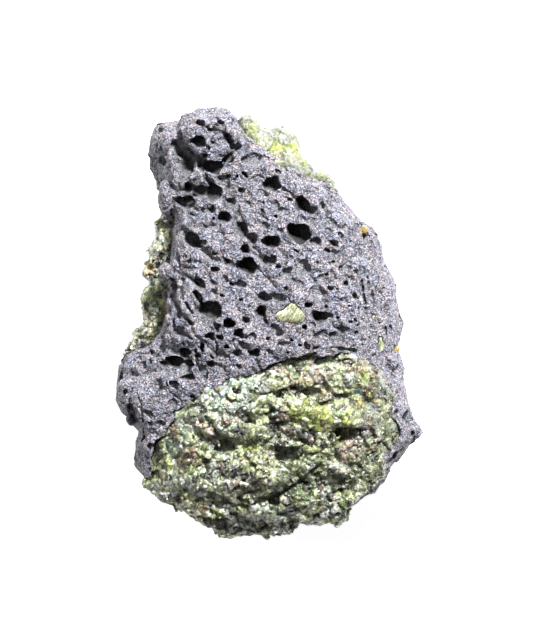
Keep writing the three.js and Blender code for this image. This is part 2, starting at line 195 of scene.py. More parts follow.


# ---------------------------------------------------------------- gas bubbles of the face, listed one by one
# open, deep bubbles: u, v, ru, rv, turn
DEEP = [(196, 114, 3, 1.7, 0), (221, 123, 3.4, 1.9, 10), (214, 131, 4, 2.1, 25), (219.5, 134.5, 2.6, 1.9, 30), (226, 136, 3, 3.2, -30), (206, 156, 4, 2.8, 10), (193, 156, 2.8, 3.6, -30), (203.6, 174, 2, 3.4, -30),
    (182, 119, 2.8, 2.6, 0), (201, 124, 5.2, 3.0, 12), (216, 119, 2.8, 1.8, 20), (199, 142, 8, 5.6, 6), (230, 141, 3.4, 7.5, -30),
    (164, 161, 5.5, 4.5, 30), (187, 167, 8, 8, 30), (214, 166.5, 11, 7.4, -10), (228, 159, 6.5, 4.6, -15), (251, 165.5, 2.4, 2.4, 0),
    (275, 162.5, 5, 3.8, 0), (277, 172, 3.4, 2.4, 0), (272, 184.5, 8.8, 7.8, 10), (241, 191, 3.2, 2.4, 0), (200, 193, 9, 6.4, 0),
    (213, 193.5, 8, 8, 0), (185, 202.5, 12, 6.2, -5), (187, 191, 5, 2.6, 0), (231, 203, 5, 3.4, 40), (211, 209, 3.4, 5.8, -30),
    (224, 218, 6, 6.4, 0), (302, 204.5, 6.6, 9, -32), (312.5, 211.5, 5.8, 4.2, 20), (322, 207.5, 4.6, 3.3, 15), (298.5, 233.5, 12.2, 9.6, 14),
    (315, 242, 5.8, 3.8, 10), (193, 240.5, 10, 6.8, 25), (184, 232, 4.2, 8, -25), (204, 242, 3.6, 2.6, 10), (242, 230.5, 4.9, 7.2, -35),
    (252, 239.5, 5.2, 6.4, -35), (271, 242, 9, 6.4, 0), (244.5, 249.5, 4.5, 4.8, -20), (247, 266, 9.8, 8, 6), (268.5, 261.5, 7.8, 4.8, -22),
    (215, 269.5, 4.4, 2.9, 10), (229, 261.5, 4, 2.3, 15), (278, 267, 2.8, 2.6, 0), (181, 280.5, 4, 3.8, 0), (199.5, 283.5, 6.4, 4.6, 45),
    (264, 298, 6.6, 5, 12), (210, 311, 12, 9, 20), (216, 308, 7.4, 5, 25), (200, 301, 3.4, 7.5, -28), (229, 323.5, 8, 5.2, 10), (219, 328, 5, 4.4, 32),
    (210.5, 336.5, 5, 4, 25), (220.7, 337.4, 4.4, 2.6, 15), (239, 333.3, 5.6, 4.6, 15), (245.6, 320.4, 3.8, 3.4, 20), (260.6, 312.5, 5.4, 6, 0),
    (265, 320, 2.4, 5.5, -30), (226.7, 346.8, 3.3, 2.2, 0), (237, 353.4, 3.6, 3.6, 0), (255.4, 353, 6, 3.6, 20), (268.6, 338.5, 2.8, 1.9, 0),
    (319, 317, 7.4, 6, 14), (329, 315, 4.4, 2.8, 22), (307.7, 305, 4.4, 2.6, 8), (330, 289, 3.4, 2.8, 28), (345.2, 284, 2.4, 2.8, 25),
    (304.3, 327, 3.4, 2.6, 15), (333, 244, 4.8, 2.4, 28), (326.5, 250.5, 3.4, 2, 20), (340, 236, 2.2, 3.2, -20), (366.6, 289.3, 3, 2.6, 20),
    (354, 296, 2.5, 3.2, 0), (388.7, 295, 3.6, 2.3, 10), (393.4, 303, 2.6, 2, 0), (380, 293, 2, 3, 0), (389.4, 329.5, 3, 4.4, 20),
    (396, 384.5, 4, 3.2, 20), (161.7, 338.5, 6.4, 6.4, 10), (186, 352.5, 6.4, 4.4, 5), (174, 361.8, 8, 6, 8), (164.3, 363.6, 4.4, 2.7, 35),
    (191, 363.6, 6.4, 3.4, 10), (202.4, 347.6, 2.6, 5.2, 0), (199, 356, 4.5, 2.2, 10), (188.5, 377, 8, 2.4, -8), (152.4, 352.4, 3.2, 2.5, 10),
    (139.8, 357.6, 3, 2.1, 30), (135.8, 374.4, 3.2, 2.4, 20), (194, 396.5, 3.6, 1.8, 15), (175.7, 306.5, 3, 3.4, 0), (291.6, 340.2, 2, 1.6, 0),
    (233, 148, 4.2, 2.6, 20), (244.6, 174.5, 5, 1.8, 50), (237, 176.3, 2, 2.2, 0), (210.5, 364, 4, 2.8, 20), (162.5, 149, 2.2, 2.8, 0), (157, 152, 2, 3.6, 10),
    (343, 205, 2.6, 1.8, 30), (355, 226, 1.8, 2.6, 0), (333, 262, 2.2, 1.4, 10), (340, 268, 2.4, 1.6, 20), (296, 251, 3.0, 1.4, 30), (232, 284, 2.4, 1.5, 10),
    (222, 296, 2.2, 1.4, 20), (284, 190, 3.2, 1.8, 30), (290, 200, 2.6, 1.6, 10), (263, 211, 2.4, 1.5, 20), (276, 217, 2.8, 1.5, 30), (229, 176, 2.4, 1.6, 0),
    (192, 215, 3.2, 2, 20), (176, 220, 2.4, 3.6, 10), (176, 254, 2, 3.4, 20), (215, 254, 2.8, 1.6, 10), (189, 262, 2.2, 2.6, 10), (241, 300, 2.4, 1.6, 0),
    (288, 352, 2.8, 1.5, 10), (300, 345, 2.4, 1.5, 20), (316, 348, 3.2, 1.6, -10), (356, 333, 2, 2.6, 0), (362, 345, 1.8, 1.6, 0), (350, 322, 2.6, 1.4, 10),
    (358, 219, 1.8, 1.5, 0), (359, 251, 2.8, 3.4, 0), (349, 263, 1.8, 1.7, 0), (334, 278, 1.7, 2.1, 0), (337, 290, 1.9, 1.5, 0), (373, 268, 1.7, 1.6, 0), (373, 275, 1.5, 1.6, 0), (338, 318, 2.2, 1.6, 10),
    (371, 310, 1.6, 1.4, 0), (379, 323, 1.7, 1.5, 0), (395, 318, 2.2, 1.8, 0), (392, 323, 1.8, 1.5, 0), (326, 307, 1.8, 1.9, 0), (369, 337, 1.6, 1.4, 0), (357, 325, 1.8, 1.6, 0), (350, 242, 1.6, 1.6, 0),
    (366, 237, 1.6, 1.5, 0), (326, 275, 2, 1.7, 0), (341, 300, 1.7, 1.5, 0), (385, 262, 1.6, 1.8, 0), (349, 306, 1.7, 1.5, 0), (329, 220, 3.4, 2.2, 10), (327, 251, 2, 1.6, 10)]
# broad, shallow dents: u, v, ru, rv, turn
PANS = [(148.5, 417, 5, 11, -5), (130, 395, 7.0, 8.0, 0), (345.5, 313, 6, 7, 0), (383, 279, 5, 5.6, 0), (182, 372, 7, 6, 0), (306, 254, 8, 5, 20), (262, 281, 8, 6, 10)]
# open, shallow bubbles, cut through the middle: u, v, ru, rv, turn
BOWLS = [(218, 128.5, 5.2, 4.4, 10), (226, 141.5, 6.5, 6.5, 0), (172, 152, 5, 7, 0), (189, 153, 5, 6, 30), (196, 186, 9, 6, 0), (221, 199, 6, 8, -30), (253.5, 161, 11, 7.5, 0), (297.5, 176, 14.5, 9.5, 16), (223, 184, 6.8, 9, -20), (180.5, 170, 12, 10.5, 0), (180, 139.5, 6.2, 8.5, 0),
    (220, 130, 6.8, 6, 0), (181, 231, 5.2, 8.5, -20), (201, 227, 7.4, 5.6, 8), (301.2, 268.5, 8.8, 9, 0), (287, 276.5, 9, 8, 0), (317, 293.5, 9, 7.5, 0),
    (276, 300, 9, 7, 0), (252, 298, 5.8, 4, 0), (330, 223, 5.4, 4.6, 20), (321.5, 339, 10, 7, 10), (336.5, 339, 9, 7, 5), (277, 331, 8, 6, 8),
    (359.3, 254, 3.4, 6, 0), (362, 271, 4.2, 7.5, -12), (188, 369, 9, 8, 0), (204, 372, 5.6, 8.5, 0),
    (162, 344, 7, 8, 0), (122.5, 366.5, 6, 6, 0), (395, 317, 6, 8, 0), (203, 320, 9.5, 9, 0), (168.6, 271.5, 6.6, 6.6, 0),
    (169, 372, 6, 7, 0), (234, 209.5, 5, 4, 30), (262, 195, 6, 5, 0), (283, 212, 6, 4.5, 20), (262, 226, 7, 5, 10), (206, 212, 5, 4, 10), (191, 224, 5, 4, 0),
    (226, 243, 5, 4, 10), (336, 255, 6, 5, 20), (345, 268, 5, 4, 0), (240, 284, 6, 4.5, 20), (226, 279, 5, 4, 0), (300, 285, 6, 4.5, 0), (347, 243, 4, 5, 0),
    (180, 330, 6, 7, 0), (176, 384, 6, 5, 0), (158, 385, 6, 6, 0), (156, 401, 5, 6, 0), (173, 403, 5, 4, 0), (135, 362, 5, 5, 0), (127, 413, 5, 4, 0),
    (251, 337, 6, 4.5, 0), (284, 345, 6, 4, 0), (244, 345, 5, 4, 0), (371, 262, 4, 6, 0), (386, 312, 3.6, 6, 0), (371, 300, 3.6, 9, -6), (352, 282, 5, 6, 0),
    (344, 331, 7, 5, 0), (372, 331, 4, 6, 0), (301, 219, 5, 3.6, 20), (281, 232, 4.4, 3.4, 10), (331, 205, 5, 4, 30), (246, 205, 6, 4.6, 10), (258, 180, 6, 5, 0)]
# creases and clefts: points along them, half width, how deep their line runs
CLEFTS = [([(163, 276), (168, 289), (174, 299), (181, 311), (190, 322), (194, 325)], 0.42, 0.9), ([(171, 276), (178, 288), (186, 303), (193, 314)], 0.3, 0.35),
    ([(196, 293), (200, 302), (206, 309)], 0.55, 1.2), ([(183, 334), (189, 336.5), (194, 340)], 0.42, 0.7), ([(151, 160), (158, 158), (166, 160)], 0.34, 0.6),
    ([(175, 144), (179, 150), (184, 156), (191, 163)], 1.0, 1.8), ([(196, 157), (203, 159), (207, 163)], 0.35, 0.8), ([(226, 158), (234, 152), (241, 146)], 0.3, 0.8), ([(222, 133), (228, 137), (233, 146)], 0.45, 0.8), ([(209, 129), (213, 134), (219, 136)], 0.35, 0.6), ([(176, 127), (178, 137), (176, 143)], 0.3, 0.4), ([(232, 149), (240, 144)], 0.5, 0.7),
    ([(188, 186), (196, 189), (207, 191), (217, 192)], 0.8, 1.2), ([(205, 158), (199, 166), (203, 172)], 0.5, 0.8),
    ([(331, 347.5), (340, 348.5), (350, 350), (356, 351)], 0.36, 0.6), ([(364, 362), (374, 366), (380, 371)], 0.34, 0.5), ([(355, 271), (361, 281), (363, 295), (364, 306), (365, 316)], 0.42, 0.45),
    ([(138, 392), (141, 405), (143, 420), (146, 432)], 0.26, 0.05), ([(127, 413), (131, 421), (136, 429)], 0.45, 0.5),
    ([(117, 401), (123, 402), (127, 404)], 0.24, 0.05), ([(233, 226), (237, 217), (239, 206)], 0.3, 0.3), ([(286, 190), (293, 196), (299, 203)], 0.35, 0.4),
    ([(250, 212), (262, 216), (272, 223)], 0.25, 0.2), ([(205, 176), (211, 184), (216, 190)], 0.5, 0.7), ([(214, 218), (209, 226), (204, 231)], 0.25, 0.3),
    ([(196, 350), (197, 360), (200, 372), (204, 380)], 0.34, 0.4), ([(212, 362), (221, 366), (226, 371)], 0.3, 0.3), ([(283, 361), (300, 358), (316, 353)], 0.35, 0.3),
    ([(166, 381), (170, 392), (178, 398)], 0.25, 0.2), ([(390, 368), (396, 372)], 0.35, 0.4), ([(384, 325), (386, 337)], 0.35, 0.3), ([(366, 232), (372, 243), (376, 255)], 0.25, 0.2)]
# bosses: u, v, ru, rv, height
BOSSES = [(125, 390, 9, 10, 1.0), (132, 416, 6, 10, 0.6), (168, 270, 4, 4, 0.5), (204, 150, 9, 5, 0.7), (222, 150, 8, 6, 0.7), (195, 130, 7, 6, 0.5), (226, 120, 9, 6, 0.6), (186, 308, 6, 12, 0.6), (190, 372, 5, 5, 0.4)]

# the basalt's edge over the left strip, lumps and bites: u, v, ru, rv, depth radius in mm, lump or bite
EDGES = [(166, 198, 6.5, 16, 5.0, True), (166, 272, 6, 9, 2.6, True),
    (173, 217, 6, 4, 5.0, False), (171, 253, 3.6, 5, 4.0, False), (172, 297, 5, 8, 5.0, False), (159, 328, 4, 4, 3.0, False)]

# ---------------------------------------------------------------- tools


def grid(lo, hi, h):
    return [np.arange(a, b + h, h) for a, b in zip(lo, hi)]


def sample(f, ax, ay, az, p):
    """Trilinear value of a grid at points."""
    h = ax[1] - ax[0]
    q = [(p[:, c] - a[0]) / h for c, a in enumerate((ax, ay, az))]
    i = [np.clip(np.floor(v).astype(int), 0, n - 2) for v, n in zip(q, f.shape)]
    t = [np.clip(v - k, 0, 1) for v, k in zip(q, i)]
    out = 0
    for a in (0, 1):
        for b in (0, 1):
            for c in (0, 1):
                w = (t[0] if a else 1 - t[0]) * (t[1] if b else 1 - t[1]) * (t[2] if c else 1 - t[2])
                out = out + w * f[i[0] + a, i[1] + b, i[2] + c]
    return out


def slope(f, ax, ay, az, p, e=0.45):
    g = np.stack([sample(f, ax, ay, az, p + d) - sample(f, ax, ay, az, p - d) for d in np.eye(3) * e], 1)
    return g / np.maximum(np.linalg.norm(g, axis=1, keepdims=True), 1e-9)


def surface_nets(f, ax, ay, az):
    """A closed quad mesh of f = 0 with one point per crossed cell. Inside is f < 0."""
    ins = f < 0
    n = f.shape
    s = np.zeros((n[0] - 1, n[1] - 1, n[2] - 1), np.int8)
    for a in (0, 1):
        for b in (0, 1):
            for c in (0, 1):
                s += ins[a:n[0] - 1 + a, b:n[1] - 1 + b, c:n[2] - 1 + c]
    flat = np.flatnonzero((s > 0) & (s < 8))
    I, J, K = np.unravel_index(flat, s.shape)
    vid = np.full(s.shape, -1, np.int32)
    vid.flat[flat] = np.arange(len(flat), dtype=np.int32)
    pos = np.zeros((len(flat), 3)); cnt = np.zeros(len(flat))
    for axis in range(3):
        o = [c for c in range(3) if c != axis]
        for b in (0, 1):
            for c in (0, 1):
                a0 = [0, 0, 0]; a0[o[0]] = b; a0[o[1]] = c
                a1 = list(a0); a1[axis] = 1
                f0 = f[I + a0[0], J + a0[1], K + a0[2]]; f1 = f[I + a1[0], J + a1[1], K + a1[2]]
                m = (f0 < 0) != (f1 < 0)
                t = f0[m] / (f0[m] - f1[m])
                p = np.tile(np.array(a0, float), (len(t), 1)); p[:, axis] = t
                pos[m] += p; cnt[m] += 1
    pos = (pos / cnt[:, None] + np.stack([I, J, K], 1)) * (ax[1] - ax[0]) + np.array([ax[0], ay[0], az[0]])
    quads = []
    for axis in range(3):
        o = [c for c in range(3) if c != axis]
        sl = [slice(None)] * 3
        for c in o: sl[c] = slice(1, -1)
        lo, hi = list(sl), list(sl)
        lo[axis] = slice(0, -1); hi[axis] = slice(1, None)
        a, b = ins[tuple(lo)], ins[tuple(hi)]
        e = np.stack(np.nonzero(a != b), 1)
        out = a[e[:, 0], e[:, 1], e[:, 2]]
        e = e + np.array([0 if c == axis else 1 for c in range(3)])
        corner = []
        for d0, d1 in ((-1, -1), (0, -1), (0, 0), (-1, 0)):
            g = e.copy(); g[:, o[0]] += d0; g[:, o[1]] += d1
            corner.append(vid[g[:, 0], g[:, 1], g[:, 2]])
        q = np.stack(corner, 1)
        flip = out if axis == 1 else ~out
        q[flip] = q[flip][:, ::-1]
        quads.append(q)
    return pos, np.concatenate(quads)


def make_mesh(name, verts_mm, faces, smooth=False):
    """A mesh object in metres, in the shared frame, from points in mm and an array of triangles or quads."""
    me = bpy.data.meshes.new(name)
    v = (np.asarray(verts_mm, float) + np.array([CENTRING[0], CENTRING[1], 0.0])) / 1000.0
    me.vertices.add(len(v)); me.vertices.foreach_set("co", v.astype(np.float32).ravel())
    k = faces.shape[1]
    me.loops.add(faces.size); me.loops.foreach_set("vertex_index", faces.astype(np.int32).ravel())
    me.polygons.add(len(faces))
    me.polygons.foreach_set("loop_start", np.arange(0, faces.size, k, dtype=np.int32))
    me.update(calc_edges=True)
    me.polygons.foreach_set("use_smooth", np.full(len(faces), smooth))
    ob = bpy.data.objects.new(name, me)
    bpy.context.scene.collection.objects.link(ob)
    return ob


def mesh_points(me):
    v = np.empty(len(me.vertices) * 3, np.float32); me.vertices.foreach_get("co", v)
    return v.reshape(-1, 3).astype(float) * 1000.0 - np.array([CENTRING[0], CENTRING[1], 0.0])


def decimate(ob, tris, weight=None, factor=1.0):
    """Collapses a mesh to a number of triangles. weight, 0 to 1 per point, says where it may coarsen more."""
    first = now = int((loop_totals(ob.data) - 2).sum())
    for part in (0, 1):
        if now <= tris: break
        if part == 0 and weight is not None:
            g = ob.vertex_groups.new(name="coarse")
            for lev in range(1, 11):
                idx = np.flatnonzero(np.round(weight * 10) == lev)
                if len(idx): g.add(idx.tolist(), lev / 10, "REPLACE")
        m = ob.modifiers.new("thin", "DECIMATE")
        m.ratio = tris / now
        if part == 0 and weight is not None: m.vertex_group = "coarse"; m.vertex_group_factor = factor
        old = ob.data
        new = bpy.data.meshes.new_from_object(ob.evaluated_get(bpy.context.evaluated_depsgraph_get()))
        ob.modifiers.clear(); ob.vertex_groups.clear()
        ob.data = new
        bpy.data.meshes.remove(old)
        new.name = ob.name
        now = int((loop_totals(new) - 2).sum())
    return first


def loop_totals(me):
    t = np.empty(len(me.polygons), np.int32); me.polygons.foreach_get("loop_total", t)
    return t


def set_attr(me, name, values, kind="FLOAT"):
    a = me.attributes.new(name, kind, "POINT")
    a.data.foreach_set("value" if kind == "FLOAT" else "color", np.asarray(values, np.float32).ravel())


def lin(rgb):
    c = np.asarray(rgb, float) / 255.0
    return np.where(c <= 0.04045, c / 12.92, ((c + 0.055) / 1.055) ** 2.4)


# ---------------------------------------------------------------- basalt field
ax, ay, az = grid((-33.5, -46.0, -1.2), (33.5, 46.5, 42.5), STEP)
f0, ztop, zbot = host_field(ax, ay, az)
gx, gy = np.meshgrid(ax, ay, indexing="ij")
hz = np.full(gx.shape, -5.0)                      # height of the plain skin over each plan point
inside = f0 < 0
any_in = inside.any(2)
k_top = f0.shape[2] - 1 - np.argmax(inside[:, :, ::-1], axis=2)
hz[any_in] = az[k_top[any_in]]


def skin(x, y):
    i = np.clip(np.round((np.asarray(x) - ax[0]) / STEP).astype(int), 0, len(ax) - 1)
    j = np.clip(np.round((np.asarray(y) - ay[0]) / STEP).astype(int), 0, len(ay) - 1)
    return hz[i, j]


def up_share(x, y):
    """How far the skin faces up at a plan point: 1 level, 0 upright."""
    i = int(np.clip(round((float(x) - ax[0]) / STEP), 4, len(ax) - 5)); j = int(np.clip(round((float(y) - ay[0]) / STEP), 4, len(ay) - 5))
    return float(1 / math.sqrt(1 + np.median(steep[i - 3:i + 4, j - 3:j + 4]) ** 2))


# broken, ridged relief: sharp crests between rounded pits
n1 = gnoise(ax, ay, az, 5.2, 41); n2 = gnoise(ax, ay, az, 2.5, 42); n3 = gnoise(ax, ay, az, 1.2, 43)
f = f0 + 0.40 * (2.2 * np.abs(n1) - 0.6) + 0.24 * (2.2 * np.abs(n2) - 0.6) + 0.08 * n3
warp = 0.6 * n2 + 0.6 * n3
del n1
steep = np.hypot(*np.gradient(np.where(hz < -4, np.nan, hz), STEP))
steep = np.where(np.isfinite(steep), steep, 3.0)


def flow_noise(length, across, seed):
    """Noise over the plan, drawn out along the lava's flow, down to the right."""
    t = math.radians(52)
    p = (gx * math.cos(t) - gy * math.sin(t)) * across / length; q = gx * math.sin(t) + gy * math.cos(t)
    h = across / 5; pa = np.arange(-62, 62, h); z2 = np.array([0.0, h])
    return sample(gnoise(pa, pa, z2, across, seed), pa, pa, z2, np.stack([p.ravel(), q.ravel(), np.zeros(p.size)], 1)).reshape(gx.shape)


def calm(x, y):
    """1 on the rough face, down to 0.2 on the two smoother places beside the front nodule."""
    u, v = x / MM + PLAN[0], PLAN[1] - y / MM
    e = np.exp(-((u - 143) ** 2 + (v - 405) ** 2) / 34.0 ** 2) + np.exp(-((u - 402) ** 2 + (v - 408) ** 2) / 34.0 ** 2)
    e = e + 0.5 * np.exp(-((u - 252) / 34.0) ** 2 - ((v - 300) / 26.0) ** 2) + 0.4 * np.exp(-((u - 222) / 20.0) ** 2 - ((v - 372) / 12.0) ** 2)
    return np.clip(1 - 0.9 * e, 0.2, 1)


# folds along the flow with creases between them, strongest where the mask is high
na, nb, nc = flow_noise(5.6, 3.6, 51), flow_noise(2.9, 1.9, 52), flow_noise(1.6, 1.1, 53)
mask = np.clip(0.45 + 1.6 * flow_noise(9.0, 6.0, 54), 0, 1)
fold = 0.55 * (np.minimum(2.2 * np.abs(na), 1) - 0.6) + 0.30 * (np.minimum(2.2 * np.abs(nb), 1) - 0.55) + 0.20 * (np.minimum(2.2 * np.abs(nc), 1) - 0.5)
fold = (0.45 + 0.75 * mask) * fold - 0.5 * mask * np.exp(-(na / 0.07) ** 2) - 0.35 * mask * np.exp(-(nb / 0.10) ** 2)
fold = 1.08 * fold * calm(gx, gy)
flat = np.clip((np.gradient(f0, STEP, axis=2) - 0.25) / 0.4, 0, 1)          # 1 where the skin faces up, 0 on the walls
f -= fold[:, :, None] * (np.clip((az - 12.0) / 9.0, 0, 1)[None, None, :] * flat)
f += (1 - flat) * (0.22 * np.minimum(2.2 * np.abs(n2), 1) + 0.22 * np.exp(-(n2 / 0.09) ** 2) * (n3 > 0.1) - 0.08)
hz = np.where(any_in, hz + fold, hz)


def block(c, r):
    lo = [int(max(0, math.floor((c[k] - r[k] - a[0]) / STEP))) for k, a in enumerate((ax, ay, az))]
    hi = [int(min(len(a), math.ceil((c[k] + r[k] - a[0]) / STEP) + 1)) for k, a in enumerate((ax, ay, az))]
    if any(h - l < 1 for l, h in zip(lo, hi)): return None
    return tuple(slice(l, h) for l, h in zip(lo, hi))


def carve(c, radii, turn=0.0, rough=0.22, k=0.12, add=False, R=None):
    """Cuts an uneven ellipsoid bubble out of the stone, or adds it as a boss."""
    rm = max(radii) * 1.35
    b = block(c, (rm, rm, rm))
    if b is None: return
    x = ax[b[0]][:, None, None] - c[0]; y = ay[b[1]][None, :, None] - c[1]; z = az[b[2]][None, None, :] - c[2]
    if R is None:
        t = math.radians(-turn); p = x * math.cos(t) + y * math.sin(t); q = -x * math.sin(t) + y * math.cos(t); w = z
    else:
        p, q, w = (R[i, 0] * x + R[i, 1] * y + R[i, 2] * z for i in range(3))
    if R is None and not add:        # rounded, slightly cornered outlines
        th = np.arctan2(q / radii[1], p / radii[0]); s1, s2, s3 = rng.random(3) * 2 * math.pi
        s = (1 + 0.10 * np.cos(3 * th + s1) + 0.06 * np.cos(5 * th + s2) + 0.05 * np.cos(2 * th + s3)) ** 2
    else: s = 1.0
    d = np.sqrt(s * ((p / radii[0]) ** 2 + (q / radii[1]) ** 2) + (w / radii[2]) ** 2) + rough * warp[b]
    d = (d - 1) * min(radii)
    f[b] = smin(f[b], d, 0.6) if add else smax(f[b], -d, k)


print('relief', round(time.time() - T0, 1))
for u, v, ru, rv, h in BOSSES:
    carve((X(u), Y(v), skin(X(u), Y(v)) - 0.3 * h), (ru * MM, rv * MM, h * 1.3), add=True)
for u, v, ru, rv, rz, lump in EDGES:
    z = float(skin(X(max(u, 172) + 4), Y(v)))
    carve((X(u), Y(v), z - (0.55 * rz if lump else 0.0)), (ru * MM, rv * MM, rz), rough=0.3, k=0.2, add=lump)
for u, v, ru, rv, turn in BOWLS:
    rx, ry = ru * MM * 1.08, rv * MM * 1.08
    rz = 0.66 * (rx + ry) / 2 + 0.12
    carve((X(u), Y(v), skin(X(u), Y(v)) - 0.18 * rz), (rx, ry, rz), turn, rough=0.06, k=0.04)
for u, v, ru, rv, turn in PANS:
    rz = 0.32 * (ru + rv) / 2 * MM
    carve((X(u), Y(v), skin(X(u), Y(v)) - 0.1 * rz), (ru * MM, rv * MM, rz), turn, rough=0.06, k=0.04)
for i, (u, v, ru, rv, turn) in enumerate(DEEP):
    rx, ry = ru * MM * 1.07, rv * MM * 1.07
    rm = (rx + ry) / 2
    lie = min(1.0, up_share(X(u), Y(v)) / 0.8) ** 2
    rz = (0.9 + 0.35 * lie) * rm + 0.45 * lie
    z0 = float(skin(X(u), Y(v)))
    carve((X(u), Y(v), z0 - 0.30 * rz), (rx, ry, rz), turn, rough=0.14, k=0.05)
    # the hollow runs in under its upper lip
    if lie > 0.8: carve((X(u) + 0.12 * rx, Y(v) + 0.30 * ry, z0 - 1.0 * rm - 0.6), (rx * 0.95, ry * 0.95, rm * 0.85 + 0.2), turn, rough=0.12)
    if rm > 0.7:
        for k in range(3):
            t = rng.random() * 2 * math.pi
            m = 0.25 + 0.25 * rng.random()
            carve((X(u) + 0.75 * rx * math.cos(t), Y(v) + 0.75 * ry * math.sin(t), z0 - 0.25 * rm), (rx * m, ry * m, rm * m), rough=0.2, k=0.05)
for pts, half, deep in CLEFTS:
    half, deep = half * 1.0, deep * 1.5 + 0.25
    P = np.array([(float(X(u)), float(Y(v))) for u, v in pts])
    for a, b in zip(P[:-1], P[1:]):
        n = max(2, int(np.linalg.norm(b - a) / (half * 0.6)))
        for t in np.linspace(0, 1, n, endpoint=False):
            c = a + (b - a) * t
            carve((c[0], c[1], float(skin(c[0], c[1])) - 0.35 * deep), (half, half, max(half, deep)), rough=0.35, k=0.08)

print('hand bubbles', round(time.time() - T0, 1))
# smaller bubbles all over, and full-size ones on the sides and back, where the face's own list ends
cax, cay, caz = ax[::4], ay[::4], az[::4]
cp, cq = surface_nets(np.ascontiguousarray(f0[::4, ::4, ::4]), cax, cay, caz)
cn = slope(f0, ax, ay, az, cp)
front = (cn[:, 2] > 0.45) & (cp[:, 2] > 24)
taken = [(float(X(u)), float(Y(v)), max(ru, rv) * MM) for u, v, ru, rv, *_ in DEEP + BOWLS]
taken += [(float(X(c[1])), float(Y(c[2])), 1.4 * max(c[3], c[4])) for c in CRYSTALS]
tk = np.array(taken)
order = rng.permutation(len(cp))
placed = []
count_small = count_big = 0
for i in order[::-1]:
    p, n = cp[i], cn[i]
    if front[i] or p[2] < 1.2 or len(placed) >= 150: continue
    r = 0.75 + 1.35 * rng.random() ** 1.6
    if placed:
        pp = np.array(placed)
        if (np.linalg.norm(pp[:, :3] - p, axis=1) < 1.15 * (pp[:, 3] + r)).any(): continue
    placed.append((*p, r))
    A = rng.standard_normal((3, 3)); Q, _ = np.linalg.qr(A)
    rad = r * np.array([1.15 + 0.5 * rng.random(), 0.8 + 0.25 * rng.random(), 1.0])
    carve(p - n * r * (0.15 + 0.55 * rng.random()), rad, R=Q, rough=0.16, k=0.06)
for i in order:
    p, n = cp[i], cn[i]
    if p[2] < 0.5: continue
    if front[i]:
        if rng.random() > calm(p[0], p[1]) ** 1.4: continue
        r = 0.18 + 0.75 * rng.random() ** 2.6
        d = np.hypot(tk[:, 0] - p[0], tk[:, 1] - p[1]) - tk[:, 2]
        if d.min() < r * 0.6 or count_small > 760: continue
        count_small += 1
    else:
        r = float(np.clip(0.42 * np.exp(0.62 * rng.standard_normal()), 0.18, 2.1))
        if count_big > 1500: continue
        count_big += 1
    if placed:
        pp = np.array(placed[-4000:])
        if (np.linalg.norm(pp[:, :3] - p, axis=1) < 0.75 * (pp[:, 3] + r)).any(): continue
    placed.append((*p, r))
    A = rng.standard_normal((3, 3)); Q, _ = np.linalg.qr(A)
    rad = r * np.array([1 + 0.35 * rng.random(), 0.85 + 0.2 * rng.random(), 1.0])
    carve(p - n * r * (0.15 + 0.45 * rng.random()), rad, R=Q, rough=0.2, k=0.08)
print("bubbles", count_small, count_big, len(placed), round(time.time() - T0, 1))

print('loose bubbles', round(time.time() - T0, 1))
# ---------------------------------------------------------------- nodule fields
# ledges of the front nodule: u, v of the upper edge, half length, drop in mm, run-out in mm, turn of the edge in degrees (image sense)
LEDGES = [(281, 392, 9, 1.6, 1.8, -10), (307, 387, 13, 3.0, 2.6, -2), (344, 395, 8, 1.8, 1.6, -12), (271, 406, 7, 1.4, 1.6, 40), (325, 402, 8, 1.4, 1.4, -6),
    (252, 416, 10, 1.6, 2.0, 26), (199, 430, 12, 1.6, 2.2, 22), (281, 424, 19, 1.9, 2.6, -10), (353, 428, 17, 3.0, 3.6, 0), (372, 430, 8, 1.4, 2.2, 60),
    (226, 438, 20, 2.6, 3.2, 16), (300, 440, 11, 1.4, 2.0, 22), (282, 449, 17, 2.2, 3.0, 0), (204, 462, 10, 1.2, 2.0, -50), (152, 474, 8, 1.0, 1.5, -18),
    (241, 477, 8, 1.4, 1.8, -10), (309, 474, 20, 2.6, 3.4, -38), (361, 475, 7, 1.6, 2.0, -16), (332, 485, 17, 1.9, 2.6, -2), (180, 493, 7, 1.2, 1.8, -60),
    (220, 497, 12, 1.6, 2.4, 22), (243, 501, 8, 1.2, 1.8, 18), (269, 496, 19, 2.0, 2.6, -10), (210, 514, 16, 1.4, 2.2, 26), (317, 511, 7, 1.2, 2.0, 14), (272, 520, 14, 1.6, 2.2, 20),
    (256, 371, 26, 1.0, 1.6, -13), (330, 360, 26, 0.7, 1.4, -6), (190, 410, 10, 0.8, 1.6, -35), (372, 400, 10, 1.0, 1.6, 30), (385, 448, 9, 0.8, 1.6, 60), (335, 455, 12, 1.2, 2.0, 10)]
# dark hollows between the grains: u, v, ru, rv
HOLLOWS = [(281, 396, 7, 3.4), (308, 394, 12.5, 5.6), (344, 400, 6.5, 4), (271, 412, 6, 2.8), (325, 404, 5, 2.4), (252, 421, 8, 3), (199, 437, 10, 4), (279, 427, 12, 3.4), (352, 434, 17, 6),
    (371, 437, 6, 4), (224, 447, 18, 7), (300, 446, 10, 3.4), (282, 457, 16, 5.5), (202, 466, 10, 2.6), (152, 479, 7, 2.6), (241, 482, 7, 3), (316, 476, 9, 5), (304, 484, 9, 4.6), (361, 480, 6, 4),
    (332, 491, 16, 4), (296, 490, 4.4, 3), (178, 499, 6, 4), (220, 504, 11, 5.5), (241, 506, 7, 3.2), (269, 502, 17, 4.4), (210, 521, 15, 4.8), (317, 515, 6.4, 3.2), (241, 529, 13, 4), (272, 526, 13, 5)]
